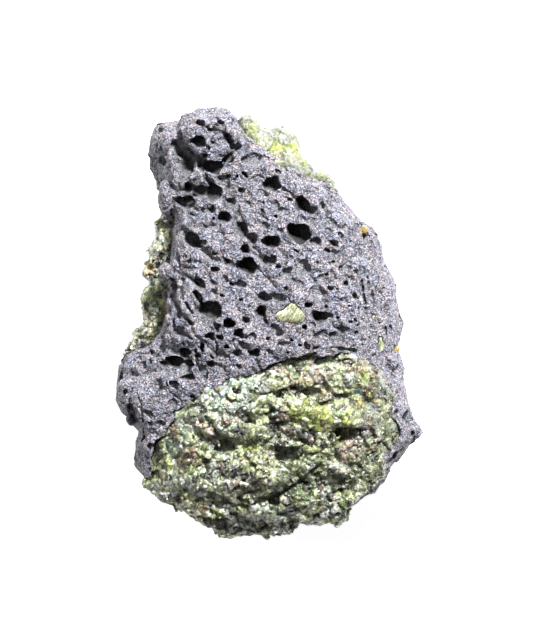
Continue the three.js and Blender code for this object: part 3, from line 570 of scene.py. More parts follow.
# swellings: u, v, ru, rv, height
KNOLLS = [(315, 412, 26, 12, 1.3), (352, 418, 13, 11, 1.8), (248, 400, 22, 13, 0.9), (212, 412, 22, 11, 0.6), (262, 434, 16, 8, 0.9), (226, 426, 20, 9, 0.8),
    (316, 442, 18, 8, 0.8), (190, 447, 24, 10, 0.9), (205, 482, 22, 12, 1.0), (272, 478, 24, 9, 1.2), (340, 470, 18, 7, 0.9), (180, 478, 18, 9, 0.8),
    (255, 511, 18, 7, 1.1), (308, 502, 18, 8, 1.4), (350, 500, 12, 8, 0.7), (232, 521, 16, 6, 0.7), (290, 405, 10, 9, 0.6), (371, 385, 14, 8, 0.5), (300, 372, 30, 7, 0.4)]


def nodule_field(key, a, b, c, open_top=False):
    out, up, lo, waist, seed = INCL[key]
    x, y = np.meshgrid(a, b, indexing="ij")
    wob = 0.8 * gnoise(a, b, np.array([0.0]), 3.6, seed + 50)[:, :, 0] + 0.55 * gnoise(a, b, np.array([0.0]), 1.7, seed + 60)[:, :, 0]
    if key == 'T': wob = 0.35 * wob
    if key == "F": wob = wob + 0.5 * gnoise(a, b, np.array([0.0]), 0.95, seed + 70)[:, :, 0] + 1.0 * np.exp(-((x - X(184)) ** 2 + (y - Y(414)) ** 2) / 5.5 ** 2)
    zt = plane_set(up, x, y, 1.8, True)
    if key == "L":
        zt = zt + 1.8; wob = 1.3 * wob
        for u, v, rr, h in ((159, 201, 10, -2.6), (147, 283, 5, -2.0), (152, 229, 5, -0.5), (158, 216, 6, -1.4), (151, 241, 9, -1.5), (148, 255, 6, -0.8), (146, 268, 6, 0.1), (146, 291, 4, -0.5), (142, 304, 6, 0.3), (136, 322, 5, -0.6), (131, 345, 6, -0.6)):
            wob = wob + h * np.exp(-((x - X(u)) ** 2 + (y - Y(v)) ** 2) / (rr * MM) ** 2)
    s = (poly_sd(out, x, y) + wob)[:, :, None]
    if key == "F":
        wx = x + 0.9 * gnoise(a, b, np.array([0.0]), 3.4, 81)[:, :, 0]; wy = y + 0.9 * gnoise(a, b, np.array([0.0]), 3.4, 82)[:, :, 0]
        for u, v, ru, rv, h in KNOLLS: zt = zt + h * np.exp(-ell2(wx, wy, u, v, ru, rv, 0) ** 1.3)
        drop = np.zeros_like(zt)
        for u, v, half, deep, run, turn in LEDGES:
            t = math.radians(turn); dx = wx - X(u); dy = -(wy - Y(v))
            p = dx * math.cos(t) + dy * math.sin(t); q = -dx * math.sin(t) + dy * math.cos(t)
            w = np.exp(-np.maximum(q, 0) / run) * np.clip(1 + q / 0.35, 0, 1) * np.exp(-(p / (half * MM * 1.05)) ** 4)
            drop = np.maximum(drop, deep * w)
        if open_top is False: zt = zt - 0.7 * drop
    zt = zt[:, :, None]
    zl = plane_set(lo, x, y, 1.8, False)[:, :, None]
    z = c[None, None, :]
    wall = -s + 3.0 * ((waist - z if key == "F" else np.abs(z - waist)).clip(0) / 12.0) ** 2.2
    k = 0.3 + 0.7 * np.clip(s / 3.0, 0, 1)
    if open_top: zt = zt + 6.0
    g = smax(smax(wall, (z - zt) * 0.85, 0.9), (zl - z) * 0.9, 1.8) + k * 0.45 * gnoise(a, b, c, 5.0, seed)
    if open_top or open_top is None: return g.astype(np.float32)
    lump = gnoise(a, b, c, 3.6, seed + 1); small = gnoise(a, b, c, 1.9, seed + 2)
    g = g + k * (0.30 * small - 0.35 * np.abs(lump) + 3.6 * (0.17 - np.abs(lump)).clip(0) + 2.2 * (0.13 - np.abs(small)).clip(0) - 0.1)
    if key == "F":
        for u, v, ru, rv in HOLLOWS:
            x0, y0 = float(X(u)), float(Y(v)); rx, ry = ru * MM * 1.0, rv * MM * 1.0
            i0 = int(np.clip(np.searchsorted(a, x0), 0, len(a) - 1)); j0 = int(np.clip(np.searchsorted(b, y0), 0, len(b) - 1))
            z0 = float(zt[i0, j0, 0]); rz = 0.45 * (rx * ry) ** 0.5 + 0.3
            for dy, dz, m in ((0.0, 0.0, 1.0), (0.3 * ry, -0.35 * rz, 0.8)):
                e = 1.9 * max(rx, ry, rz)
                w3 = tuple(slice(int(np.clip(np.searchsorted(t, o - e), 0, len(t) - 1)), int(np.clip(np.searchsorted(t, o + e), 1, len(t)))) for t, o in ((a, x0), (b, y0), (c, z0)))
                q = ((x[w3[:2]] - x0) / (rx * m)) ** 2 + ((y[w3[:2]] - y0 - dy) / (ry * m)) ** 2
                d = np.sqrt(q[:, :, None] + ((z[:, :, w3[2]] - z0 - dz) / (rz * m)) ** 2) + 0.6 * small[w3] + 0.5 * lump[w3]
                g[w3] = smax(g[w3], -(d - 1) * min(rx, ry, rz) * m, 0.15)
    return g.astype(np.float32)


def node_box(name):
    lo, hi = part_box(name)
    return np.array(lo) * 1000 - np.array([*CENTRING, 0]), np.array(hi) * 1000 - np.array([*CENTRING, 0])


NODES = dict(F="front_olivine_nodule", L="left_olivine_nodule", T="top_olivine_nodule")


def window(lo, hi, axes):
    return tuple(slice(int(np.clip(np.searchsorted(t, l), 0, len(t) - 1)), int(np.clip(np.searchsorted(t, h) + 1, 1, len(t)))) for t, l, h in zip(axes, lo, hi))


nodf = np.full(f.shape, 3.0, np.float32)
for key, node in NODES.items():
    lo, hi = node_box(node)
    hi = hi + (0, 0, 9) if key == "F" else hi
    w3 = window(lo - 2.5, hi + 2.5, (ax, ay, az))
    g = nodule_field(key, ax[w3[0]], ay[w3[1]], az[w3[2]], True if key == "F" else None)
    nodf[w3] = np.minimum(nodf[w3], g)
    f[w3] = smax(f[w3], 0.10 - g, 0.06)

# outline of the crystal in the face; the small ones are uneven ovals
FACE_CRYSTAL = [(274.6, 316.8), (275.6, 313.6), (279.4, 311.6), (283.8, 308.6), (287.6, 305.2), (291.8, 303.4), (295.8, 304.4), (299.2, 308.0), (302.8, 312.2), (305.6, 316.6), (303.2, 320.8), (299.0, 322.8),
    (291.4, 323.2), (284.2, 322.6), (277.4, 320.8), (276.0, 318.6)]
SMALL_CRYSTALS = dict(flank_olivine_crystal=[(378.6, 335.6), (381.6, 337.0), (381.8, 341.4), (383.8, 345.0), (383.0, 350.8), (379.6, 352.2), (378.8, 347.8), (377.2, 345.6), (379.0, 342.0), (377.6, 339.0)],
    groove_olivine_crystal=[(371.2, 316.8), (373.2, 314.4), (375.6, 316.0), (376.0, 319.6), (373.8, 321.4), (371.6, 320.0)])
crystal_plan = []
for k, (name, u, v, rx, ry, rz, turn, sink) in enumerate(CRYSTALS):
    if k == 0: out = FACE_CRYSTAL
    elif name in SMALL_CRYSTALS: out = SMALL_CRYSTALS[name]
    else:
        t0 = math.radians(turn); out = []
        for t in np.linspace(0, 2 * math.pi, 9, endpoint=False):
            m = 0.85 + 0.3 * rng.random()
            p, q = rx / MM * m * math.cos(t), ry / MM * m * math.sin(t)
            out.append((u + p * math.cos(t0) - q * math.sin(t0), v + p * math.sin(t0) + q * math.cos(t0)))
    z0 = float(skin(X(u), Y(v)))
    crystal_plan.append((out, z0 + (0.35 if k == 0 else 0.05), z0 - sink - rz + 0.1, rng.random(64)))


def crystal_field(k, a, b, c, open_top=False):
    out, top, low, rnd = crystal_plan[k]
    x, y = np.meshgrid(a, b, indexing="ij")
    size = 1.0 if k == 0 else 0.45
    s = poly_sd(out, x, y) + 0.13 * gnoise(a, b, np.array([0.0]), 0.8, 290 + k)[:, :, 0]
    z0 = top - 0.55 * size + 0.75 * size * (1 - np.exp(-np.maximum(s, 0) / (0.55 * size))) + 0.25 * size * gnoise(a, b, np.array([0.0]), 1.6 * size, 300 + k)[:, :, 0]
    # cleavage steps running up to the right
    t = -0.86 * x + 0.5 * y + 0.22 * gnoise(a, b, np.array([0.0]), 1.1, 310 + k)[:, :, 0]
    pitch = 0.52 * size + 0.1
    n = np.floor(t / pitch).astype(int)
    z0 = z0 + 0.42 * size * (t / pitch - n - 0.5) * (0.5 + rnd[n % 64]) + 0.30 * size * (rnd[(n + 7) % 64] - 0.5)
    if open_top: z0 = z0 + 2.5
    z = c[None, None, :]
    body = -s[:, :, None] + 0.25 * np.maximum(top - 0.5 - z, 0)
    return smax(smax(body, z - z0[:, :, None], 0.05), low - z, 0.1).astype(np.float32)


for k in range(len(CRYSTALS)):
    P = np.stack([X([p[0] for p in crystal_plan[k][0]]), Y([p[1] for p in crystal_plan[k][0]])], 1)
    w3 = window((*(P.min(0) - 1.2), crystal_plan[k][2] - 1.2), (*(P.max(0) + 1.2), crystal_plan[k][1] + 2.2), (ax, ay, az))
    f[w3] = smax(f[w3], 0.05 - crystal_field(k, ax[w3[0]], ay[w3[1]], az[w3[2]], True), 0.04)
# the worn foot it rests on
f = np.maximum(f, -az[None, None, :] + 0 * f)
f = f.astype(np.float32)
print("field", round(time.time() - T0, 1))

pts, quads = surface_nets(f, ax, ay, az)
print("basalt net", len(pts), len(quads), round(time.time() - T0, 1))


def largest_piece(n, faces):
    """Labels connected pieces by repeated minimum passing and keeps the largest."""
    lab = np.arange(n)
    e = np.concatenate([faces[:, [i, (i + 1) % faces.shape[1]]] for i in range(faces.shape[1])])
    while True:
        m = np.minimum(lab[e[:, 0]], lab[e[:, 1]])
        new = lab.copy()
        np.minimum.at(new, e[:, 0], m); np.minimum.at(new, e[:, 1], m)
        new = new[new]
        if (new == lab).all(): break
        lab = new
    top = np.bincount(lab).argmax()
    keep = lab == top
    ids = np.cumsum(keep) - 1
    ff = faces[keep[faces].all(1)]
    return keep, ids[ff]


keep, quads = largest_piece(len(pts), quads)
pts = pts[keep]


def cell_lattice(p, cell, r):
    lo = np.floor(p.min(0) / cell).astype(int) - 2
    n = np.ceil(p.max(0) / cell).astype(int) + 3 - lo
    return lo, n, 0.05 + 0.9 * r.random((*n, 3))


def nearest_cell(p, cell, lat):
    """Distance in cells to the nearest scattered point, and that point's number."""
    lo, n, J = lat
    q = p / cell - lo
    i0 = np.floor(q).astype(int)
    Jf = J.reshape(-1, 3)
    best = np.full(len(p), 1e9); who = np.zeros(len(p), int)
    for a in (-1, 0, 1):
        for b in (-1, 0, 1):
            for c in (-1, 0, 1):
                i = i0 + np.array([a, b, c])
                flat = (i[:, 0] * n[1] + i[:, 1]) * n[2] + i[:, 2]
                d = ((q - i - Jf[flat]) ** 2).sum(1)
                m = d < best
                best = np.where(m, d, best); who = np.where(m, flat, who)
    return np.sqrt(best), who


def scallops(p, cell, r):
    """Concave bites with sharp edges between them, about -0.5 (edge) to 0.45 (bite)."""
    lat = cell_lattice(p, cell, r)
    d, who = nearest_cell(p, cell, lat)
    amp = 0.35 + 0.65 * r.random(int(np.prod(lat[1])))
    return (0.42 - 1.35 * d * d).clip(-0.6) * amp[who]


nrm = slope(f, ax, ay, az, pts, 0.35)
cave = np.clip((-sample(f0, ax, ay, az, pts) - 0.5) / 0.8, 0, 1)          # smooth walls inside the bubbles
move = 0.52 * scallops(pts, 2.9, rng) + 0.40 * scallops(pts + 7.0, 1.25, rng)
quiet = np.where(pts[:, 2] > 20, 0.4 + 0.6 * calm(pts[:, 0], pts[:, 1]), 1.0)
pts = pts - nrm * (move * quiet * (1 - 0.85 * cave))[:, None]
move = 0.27 * scallops(pts, 0.62, rng)
pts = pts - nrm * (move * (1 - 0.7 * cave))[:, None]
print("scallops", round(time.time() - T0, 1))
host = make_mesh("basalt", pts, quads)
# points at the back, and walls of the hidden sockets, may coarsen more
hid = np.abs(sample(nodf, ax, ay, az, pts) - 0.1) < 0.3
wgt = np.where(pts[:, 2] > 22, 0.0, 0.5)
wgt = np.where(hid & (sample(f0, ax, ay, az, pts) < -1.5), 1.0, wgt)
was = decimate(host, HOST_TRIS, wgt, 1.0)
zz = mesh_points(host.data)[:, 2]; print("basalt", was, "->", int((loop_totals(host.data) - 2).sum()), "points above 24 mm", int((zz > 24).sum()), "of", len(zz), round(time.time() - T0, 1))
P = mesh_points(host.data)
P[:, 2] = np.where(P[:, 2] < 0.03, 0.0, P[:, 2])
host.data.vertices.foreach_set("co", ((P + np.array([*CENTRING, 0])) / 1000).astype(np.float32).ravel())
# depth below the plain skin; the basalt material uses it for the bubble lining colour and for painted shade deep inside
# the bubbles
depth = np.clip(-sample(f0, ax, ay, az, P) , -1, 5)
set_attr(host.data, "depth", depth)

# ---------------------------------------------------------------- grains
PALE, WHITE, MID, VIVID, DARK, BLACK, BROWN, GOLD, TEAL, CLEARISH = range(10)
TINTS = [lin(c) for c in ((180, 186, 146), (200, 207, 192), (126, 138, 84), (148, 160, 84), (56, 60, 46), (26, 26, 28), (138, 118, 100), (190, 156, 84), (120, 160, 148), (196, 212, 140), (198, 216, 92), (128, 126, 128), (172, 155, 146), (180, 193, 180), (74, 90, 44), (180, 186, 104), (151, 162, 84))]
LIME, GREY, PINK, MIST, DEEPGREEN, STRAW, GLASS = 10, 11, 12, 13, 14, 15, 16
# places in the front nodule where one tint rules: u, v, radius, tint, share
ZONES = [(304, 414, 15, GLASS, 0.8), (319, 414, 12, GLASS, 0.6), (330, 408, 6, PALE, 0.7), (352, 416, 9, PALE, 0.5), (283, 412, 6, BROWN, 0.85), (278, 422, 10, BLACK, 0.75),
    (362, 424, 12, BLACK, 0.6), (344, 402, 9, BLACK, 0.5), (358, 390, 4, TEAL, 0.8), (364, 378, 7, VIVID, 0.35), (250, 446, 8, GLASS, 0.8), (226, 404, 20, WHITE, 0.5), (208, 416, 12, WHITE, 0.45),
    (214, 437, 6, BROWN, 0.5), (223, 447, 10, DARK, 0.7), (300, 444, 16, BLACK, 0.4), (286, 455, 14, DARK, 0.6), (262, 470, 16, PALE, 0.4), (308, 504, 15, VIVID, 0.35), (213, 513, 7, VIVID, 0.6),
    (330, 438, 14, PALE, 0.4), (355, 445, 12, BROWN, 0.35), (372, 452, 8, BROWN, 0.4), (300, 484, 12, DARK, 0.5), (240, 480, 10, DARK, 0.4), (296, 492, 8, BROWN, 0.3), (195, 468, 12, MID, 0.6),
    (250, 530, 14, DARK, 0.6), (282, 528, 10, BLACK, 0.5), (216, 522, 9, BROWN, 0.3), (336, 512, 7, WHITE, 0.6), (228, 392, 24, MIST, 0.6), (246, 382, 14, MIST, 0.6), (204, 412, 15, MIST, 0.5), (180, 430, 12, MIST, 0.3), (262, 382, 14, WHITE, 0.3), (210, 429, 9, PINK, 0.55), (200, 424, 6, PINK, 0.4), (352, 447, 13, PINK, 0.5), (338, 452, 8, PINK, 0.4), (367, 431, 9, GREY, 0.5),
    (288, 489, 22, DEEPGREEN, 0.5), (320, 492, 14, DEEPGREEN, 0.4), (266, 503, 14, DEEPGREEN, 0.4), (348, 421, 12, STRAW, 0.5), (328, 428, 12, STRAW, 0.5), (300, 424, 8, STRAW, 0.4), (368, 398, 9, STRAW, 0.3), (252, 530, 13, BLACK, 0.6), (226, 526, 9, BLACK, 0.4),
    (236, 488, 10, PINK, 0.3), (246, 487, 8, GREY, 0.5), (296, 520, 9, WHITE, 0.3), (345, 505, 8, MIST, 0.5), (182, 486, 12, MIST, 0.35), (165, 470, 9, STRAW, 0.3), (190, 455, 9, PINK, 0.3), (312, 368, 9, PINK, 0.3), (300, 372, 14, PALE, 0.4),
    (352, 366, 8, BROWN, 0.25), (340, 372, 12, PALE, 0.5), (380, 405, 8, GOLD, 0.2), (160, 462, 9, MID, 0.5), (172, 480, 10, PALE, 0.5), (352, 480, 10, DARK, 0.35)]
TOP_ZONES = [(277, 146, 6, LIME, 0.9), (292, 147, 9, LIME, 0.85), (255, 128.5, 4, LIME, 0.6), (306, 163.5, 4, LIME, 0.7), (268, 133, 9, WHITE, 0.7), (284, 131, 10, WHITE, 0.7), (263, 130, 5, WHITE, 0.5), (312, 168, 8, WHITE, 0.6), (256, 119, 7, WHITE, 0.5)]
# the pale CLEARISH place at (155, 300) is painted light on a part of the strip that lies in shade
LEFT_ZONES = [(152, 268, 9, GOLD, 0.6), (160, 258, 6, BROWN, 0.5), (162, 251, 5, DARK, 0.6), (154, 281, 7, DARK, 0.85), (153, 285, 5, BLACK, 0.7), (155, 300, 8, CLEARISH, 0.85), (153, 308, 7, WHITE, 0.5), (146, 305, 4, BLACK, 0.5), (150, 322, 8, PALE, 0.6),
    (160, 229, 7, PALE, 0.6), (159, 240, 6, WHITE, 0.5), (164, 214, 5, DARK, 0.6), (152, 243, 5, PALE, 0.5), (146, 330, 5, DARK, 0.5), (137, 342, 8, TEAL, 0.15), (136, 346, 7, WHITE, 0.4)]


def slow(p, length, seed):
    """Slowly varying value at points, about -1 to 1."""
    a, b2, c = (np.arange(-36, 36, 0.9), np.arange(-48, 48, 0.9), np.arange(-3, 46, 0.9))
    return sample(gnoise(a, b2, c, length, seed), a, b2, c, p)


def tint_of(points, kind, zones, r, seed):
    n = len(points)
    s1, s2, s3, s4 = (slow(points, L, seed + i) for i, L in enumerate((7.0, 4.5, 3.6, 3.0)))

    def blend(a, b2, w): return a + (b2 - a) * np.clip(w, 0, 1)[:, None]

    col = np.tile(TINTS[PALE], (n, 1))
    if kind == "T":
        col = blend(col, TINTS[CLEARISH], 0.6 + 0.8 * s1); col = blend(col, TINTS[WHITE], 0.45 + 1.2 * s2)
    else:
        if kind == "F":     # whiter, cooler grains to the upper left, browner ones to the right
            w = np.clip((260 - (points[:, 0] / MM + PLAN[0])) / 60, 0, 1) * np.clip((450 - (PLAN[1] - points[:, 1] / MM)) / 50, 0, 1)
            col = blend(col, TINTS[WHITE] * np.array([0.78, 0.86, 0.85]), 0.75 * w)
            w = np.clip(((points[:, 0] / MM + PLAN[0]) - 330) / 40, 0, 1)
            col = blend(col, TINTS[BROWN], 0.35 * w * (0.5 + s2)); shady = 1 - 0.22 * w
        col = blend(col, TINTS[WHITE], 0.9 * s1 + 0.15)
        col = blend(col, TINTS[MID], 0.25 + 1.1 * s2)
        if kind == "L": col = blend(col, lin((176, 162, 132)), 0.45 + 0.9 * s4)
        pick = r.random((4, n))
        col = np.where((pick[0] < 1.6 * s3 - 0.25)[:, None], TINTS[BROWN], col)
        col = np.where((pick[1] < 1.8 * s4 - 0.15)[:, None], TINTS[DARK], col)
        col = np.where((pick[2] < 0.13)[:, None], TINTS[GREY], col)
    deep = np.clip((points[:, 2] - 13) / 6, 0, 1) if kind == "L" else 1.0      # the places fade out below the waist
    for u, v, rad, t, share in zones:
        d = np.hypot(points[:, 0] - X(u), points[:, 1] - Y(v)) / (rad * MM)
        hit = r.random(n) < deep * share ** 0.6 * np.clip(1.7 - 1.3 * d, 0, 1)
        col = np.where(hit[:, None], np.array(TINTS[t]), col)
    odd = r.random(n)
    if kind != "T":
        col = np.where((odd < 0.10)[:, None], TINTS[BLACK], col)
        col = np.where(((odd > 0.08) & (odd < 0.16))[:, None], TINTS[WHITE], col)
        col = np.where(((odd > 0.16) & (odd < 0.20))[:, None], TINTS[BROWN], col)
    if kind == "F":          # darker to the right; more black grains lower down, and white grains lifted 1.3 times there as painted glints
        col = col * shady[:, None]
        below = np.clip(((PLAN[1] - points[:, 1] / MM) - 445) / 50, 0, 1); odd = r.random(n)
        col = np.where((odd < 0.20 * below)[:, None], TINTS[BLACK], col)
        # painted glints: bright white grains in the lower part
        col = np.where((odd > 1 - 0.16 * below)[:, None], TINTS[WHITE] * 1.3, col)
    col = col * np.exp(0.30 * r.standard_normal((n, 1))) * (1 + 0.05 * r.standard_normal((n, 3)))
    return np.clip(col, 0.004, 0.92)


def grain_cells(p, cell, r_seed, extra):
    """For points in mm: nearest grain, distance to its edge with the next grain, offset from the grain's own centre."""
    r = np.random.default_rng(r_seed)
    lo = np.floor(np.array([-34.0, -48.0, -4.0]) / cell).astype(int) - 2
    n = np.ceil(np.array([34.0, 48.0, 46.0]) / cell).astype(int) + 3 - lo
    J = (0.05 + 0.9 * r.random((int(np.prod(n)), 3)))
    W = (0.30 * cell * cell) * r.random(len(J)) ** 2
    i0 = np.floor(p / cell).astype(int) - lo
    F1 = np.full(len(p), 1e9); F2 = np.full(len(p), 1e9)
    id1 = np.zeros(len(p), np.int64); id2 = np.zeros(len(p), np.int64)
    C = np.stack(np.unravel_index(np.arange(len(J)), n), 1) + lo
    C = (C + J) * cell
    if len(extra):
        E = np.array([e[:3] for e in extra]); EW = np.array([e[3] ** 2 - 0.2 * cell * cell for e in extra])
        C = np.concatenate([C, E]); W = np.concatenate([W, EW])

    def feed(d, flat, sel=slice(None)):
        a, b2, ia, ib = F1[sel], F2[sel], id1[sel], id2[sel]
        m1 = d < a
        m2 = (~m1) & (d < b2)
        F2[sel] = np.where(m1, a, np.where(m2, d, b2)); id2[sel] = np.where(m1, ia, np.where(m2, flat, ib))
        F1[sel] = np.where(m1, d, a); id1[sel] = np.where(m1, flat, ia)

    for a in (-1, 0, 1):
        for b2 in (-1, 0, 1):
            for c in (-1, 0, 1):
                i = i0 + np.array([a, b2, c])
                flat = (i[:, 0] * n[1] + i[:, 1]) * n[2] + i[:, 2]
                feed(((p - C[flat]) ** 2).sum(1) - W[flat], flat)
    for k in range(len(extra)):
        e = len(J) + k
        sel = np.flatnonzero(np.abs(p - C[e]).max(1) < extra[k][3] * 1.7 + cell)
        if len(sel): feed(((p[sel] - C[e]) ** 2).sum(1) - W[e], np.full(len(sel), e), sel)
    edge = (F2 - F1) / (2 * np.linalg.norm(C[id1] - C[id2], axis=1).clip(1e-3))
    return id1, edge, p - C[id1], C, len(J)


CLUMP_MIX = dict(F=(0.30, 0.16, 0.18, 0.06, 0.12, 0.03, 0.09, 0.03, 0.01, 0.02), L=(0.18, 0.08, 0.26, 0.03, 0.22, 0.04, 0.10, 0.07, 0.01, 0.01), T=(0.36, 0.28, 0.0, 0.04, 0.0, 0.0, 0.0, 0.0, 0.0, 0.32))


def warped(p, seed):
    return p + 0.7 * np.stack([slow(p, 2.6, seed + 40 + i) for i in range(3)], 1)


def build_nodule(key, name, zones, cell, step, seed, extra=(), stand=0.32, tilt=0.55, tris=190000):
    r = np.random.default_rng(seed)
    lo, hi = node_box(NODES[key])
    a, b, c = grid(lo - 2.0, hi + 2.0, step)
    g = nodule_field(key, a, b, c)
    env = nodule_field(key, a, b, c, None)
    top = np.full((len(a), len(b)), lo[2])
    ins = g < 0
    anyin = ins.any(2)
    top[anyin] = c[(g.shape[2] - 1 - np.argmax(ins[:, :, ::-1], axis=2))[anyin]]
    big = []
    for u, v, rr, t, lift in extra:
        x, y = float(X(u)), float(Y(v))
        i = int(np.clip(round((x - a[0]) / step), 0, len(a) - 1)); j = int(np.clip(round((y - b[0]) / step), 0, len(b) - 1))
        big.append((x, y, top[i, j] - 0.45 * rr + lift, rr, t))
    p0 = np.stack(np.meshgrid(a, b, c, indexing="ij"), -1).reshape(-1, 3)
    gf = g.ravel().astype(float)
    near = np.flatnonzero((np.abs(gf) < 1.5))
    near = near[sample(f0, ax, ay, az, p0[near]) > -2.0]
    gf[near] -= 0.22
    q = p0[near]
    clump, cedge, _, CC, _ = grain_cells(warped(q, seed), 2.7 * cell, seed + 7, ())
    soft = 0.3 if key == 'T' else 0.5 + 0.8 * np.clip((405 - (PLAN[1] - q[:, 1] / MM)) / -90, 0, 1) if key == 'F' else 1.0
    lift = 0.34 * (2 * r.random(len(CC)) - 1)
    gf[near] += soft * (lift[clump] + 0.24 * np.exp(-(cedge / 0.18) ** 2) - 0.04)
    who, edge, off, C, nj = grain_cells(q, cell, seed, big)
    m = len(C)
    if key == "L": stand = 0.5
    h = stand * (2 * r.random(m) - 1); h[nj:] = -0.15
    t1 = r.standard_normal((m, 3)); t1 *= tilt * r.random((m, 1)) / np.linalg.norm(t1, axis=1, keepdims=True)
    t2 = r.standard_normal((m, 3)); t2 *= tilt * r.random((m, 1)) / np.linalg.norm(t2, axis=1, keepdims=True)
    t3 = r.standard_normal((m, 3)); t3 *= tilt * r.random((m, 1)) / np.linalg.norm(t3, axis=1, keepdims=True)
    roof = np.maximum(np.maximum((t1[who] * off).sum(1), (t2[who] * off).sum(1)), (t3[who] * off).sum(1))
    groove = 0.21 * soft * np.exp(-(edge / 0.09) ** 2)
    even = 0.7 + 0.3 * np.clip(((PLAN[1] - q[:, 1] / MM) - 405) / 90, 0, 1) if key == "F" else 1.0
    gf[near] = gf[near] + even * (h[who] + roof - 0.22 * cell * tilt) + groove
    g2 = gf.reshape(g.shape).astype(np.float32)
    pts, quads = surface_nets(g2, a, b, c)
    keep, quads = largest_piece(len(pts), quads)
    pts = pts[keep]
    ob = make_mesh(name, pts, quads)
    w = np.clip((-sample(f0, ax, ay, az, pts) - 0.8) / 1.2, 0, 1)
    was = decimate(ob, tris, w, 1.0)
    P = mesh_points(ob.data)
    who, edge, off, C, nj = grain_cells(P, cell, seed, big)
    col = tint_of(C[:nj], key, zones, r, seed + 300)
    if big: col = np.concatenate([col, np.array([TINTS[e[4]] * (0.85 + 0.3 * r.random()) for e in big])])
    low = np.clip(-sample(env, a, b, c, P) - 0.7, 0, 3)
    clump, cedge, _, CC, _ = grain_cells(warped(P, seed), 2.7 * cell, seed + 7, ())
    own = np.array(TINTS)[r.choice(10, size=len(CC), p=CLUMP_MIX[key])] * np.exp(0.15 * r.standard_normal((len(CC), 1)))
    tint = col[who] * 0.68 + own[clump] * 0.32
    keep = np.zeros(len(C), bool); keep[nj:] = True
    near_zone = np.zeros(len(P))
    for u, v, rad, t, share in zones: near_zone = np.maximum(near_zone, share ** 0.5 * np.clip(1.6 - 1.2 * np.hypot(P[:, 0] - X(u), P[:, 1] - Y(v)) / (rad * MM), 0, 1))
    w = np.where(keep[who], 1.0, np.clip(near_zone, 0, 1))[:, None]
    tint = tint * (1 - w) + col[who] * w
    # painted light: the left strip's colour is lifted 1.35 times against the basalt's shadow over it
    if key == "L": tint = 1.35 * (0.8 * tint + 0.2 * tint.mean(1, keepdims=True))
    # painted shade: grains darker at their edges with the next grain, at clump edges and deeper in the hollows, going
    # to a dark olive there; on the front nodule it is weaker at the top
    if key == "T": shade = 0.85 + 0.15 * np.clip(edge / 0.12, 0, 1)
    else: shade = (0.58 + 0.42 * np.clip(edge / 0.12, 0, 1)) * (0.72 + 0.28 * np.clip(cedge / 0.28, 0, 1)) * np.exp(-0.48 * low)
    if key == "F": shade = np.clip(shade, 0.02, 1) ** (0.45 + 0.85 * np.clip(((PLAN[1] - P[:, 1] / MM) - 405) / 90, 0, 1))
    shade = shade[:, None]
    tint = tint * shade + np.array([0.042, 0.064, 0.012]) * (1 - shade) * (0.2 if key == "T" else 1.0)
    set_attr(ob.data, "tint", np.concatenate([tint, np.ones((len(tint), 1))], 1), "FLOAT_COLOR")
    print(name, was, "->", int((loop_totals(ob.data) - 2).sum()), "triangles", round(time.time() - T0, 1))
    return ob


FRONT_EXTRA = [(297, 411, 1.7, GLASS, 0.0), (308, 414, 2.2, GLASS, 0.1), (316, 420, 1.3, GLASS, 0.0), (292, 400, 1.2, PALE, 0.2), (301, 420, 1.2, STRAW, 0.0), (323, 412, 1.8, STRAW, 0.2), (283, 408, 1.1, BROWN, 0.1), (286, 416, 1.0, BROWN, 0.0),
    (354, 418, 1.6, PALE, 0.2), (347, 410, 0.8, WHITE, 0.1), (250, 446, 1.7, GLASS, 0.1), (246, 437, 1.0, MID, 0.1), (282, 415, 0.9, BROWN, 0.1), (262, 398, 0.9, WHITE, 0.1),
    (241, 404, 1.0, WHITE, 0.1), (212, 416, 0.9, PALE, 0.1), (364, 378, 1.0, VIVID, 0.1), (301, 503, 1.2, VIVID, 0.1), (312, 500, 1.1, PALE, 0.1), (350, 497, 1.1, PALE, 0.1),
    (275, 480, 1.1, PALE, 0.1), (210, 488, 1.1, PALE, 0.1), (176, 470, 1.0, PALE, 0.1), (316, 468, 0.9, PALE, 0.1), (213, 514, 1.0, VIVID, 0.1)]
front_ob = build_nodule("F", "front_nodule_grains", ZONES, 1.30, 0.25, 71, FRONT_EXTRA, stand=0.38, tilt=0.75)
left_ob = build_nodule("L", "left_nodule_grains", LEFT_ZONES, 1.0, 0.26, 72, (), tris=60000)
top_ob = build_nodule("T", "top_nodule_crystals", TOP_ZONES, 1.25, 0.26, 73, (), stand=0.2, tilt=0.35, tris=60000)

# ---------------------------------------------------------------- single crystals
crystals = []
for k, (node, u, v, rx, ry, rz, turn, sink) in enumerate(CRYSTALS):
    step = 0.085 if k == 0 else 0.07
    out, top, low, _ = crystal_plan[k]
    P = np.stack([X([p[0] for p in out]), Y([p[1] for p in out])], 1)
    a, b_, c = grid((*(P.min(0) - 0.4), low - 0.4), (*(P.max(0) + 0.4), top + 1.0), step)
    g = crystal_field(k, a, b_, c)
    pv, qv = surface_nets(g, a, b_, c)
    kp, qv = largest_piece(len(pv), qv)
    crystals.append((node, make_mesh(node.replace("olivine_", "") + "_visual", pv[kp], qv)))


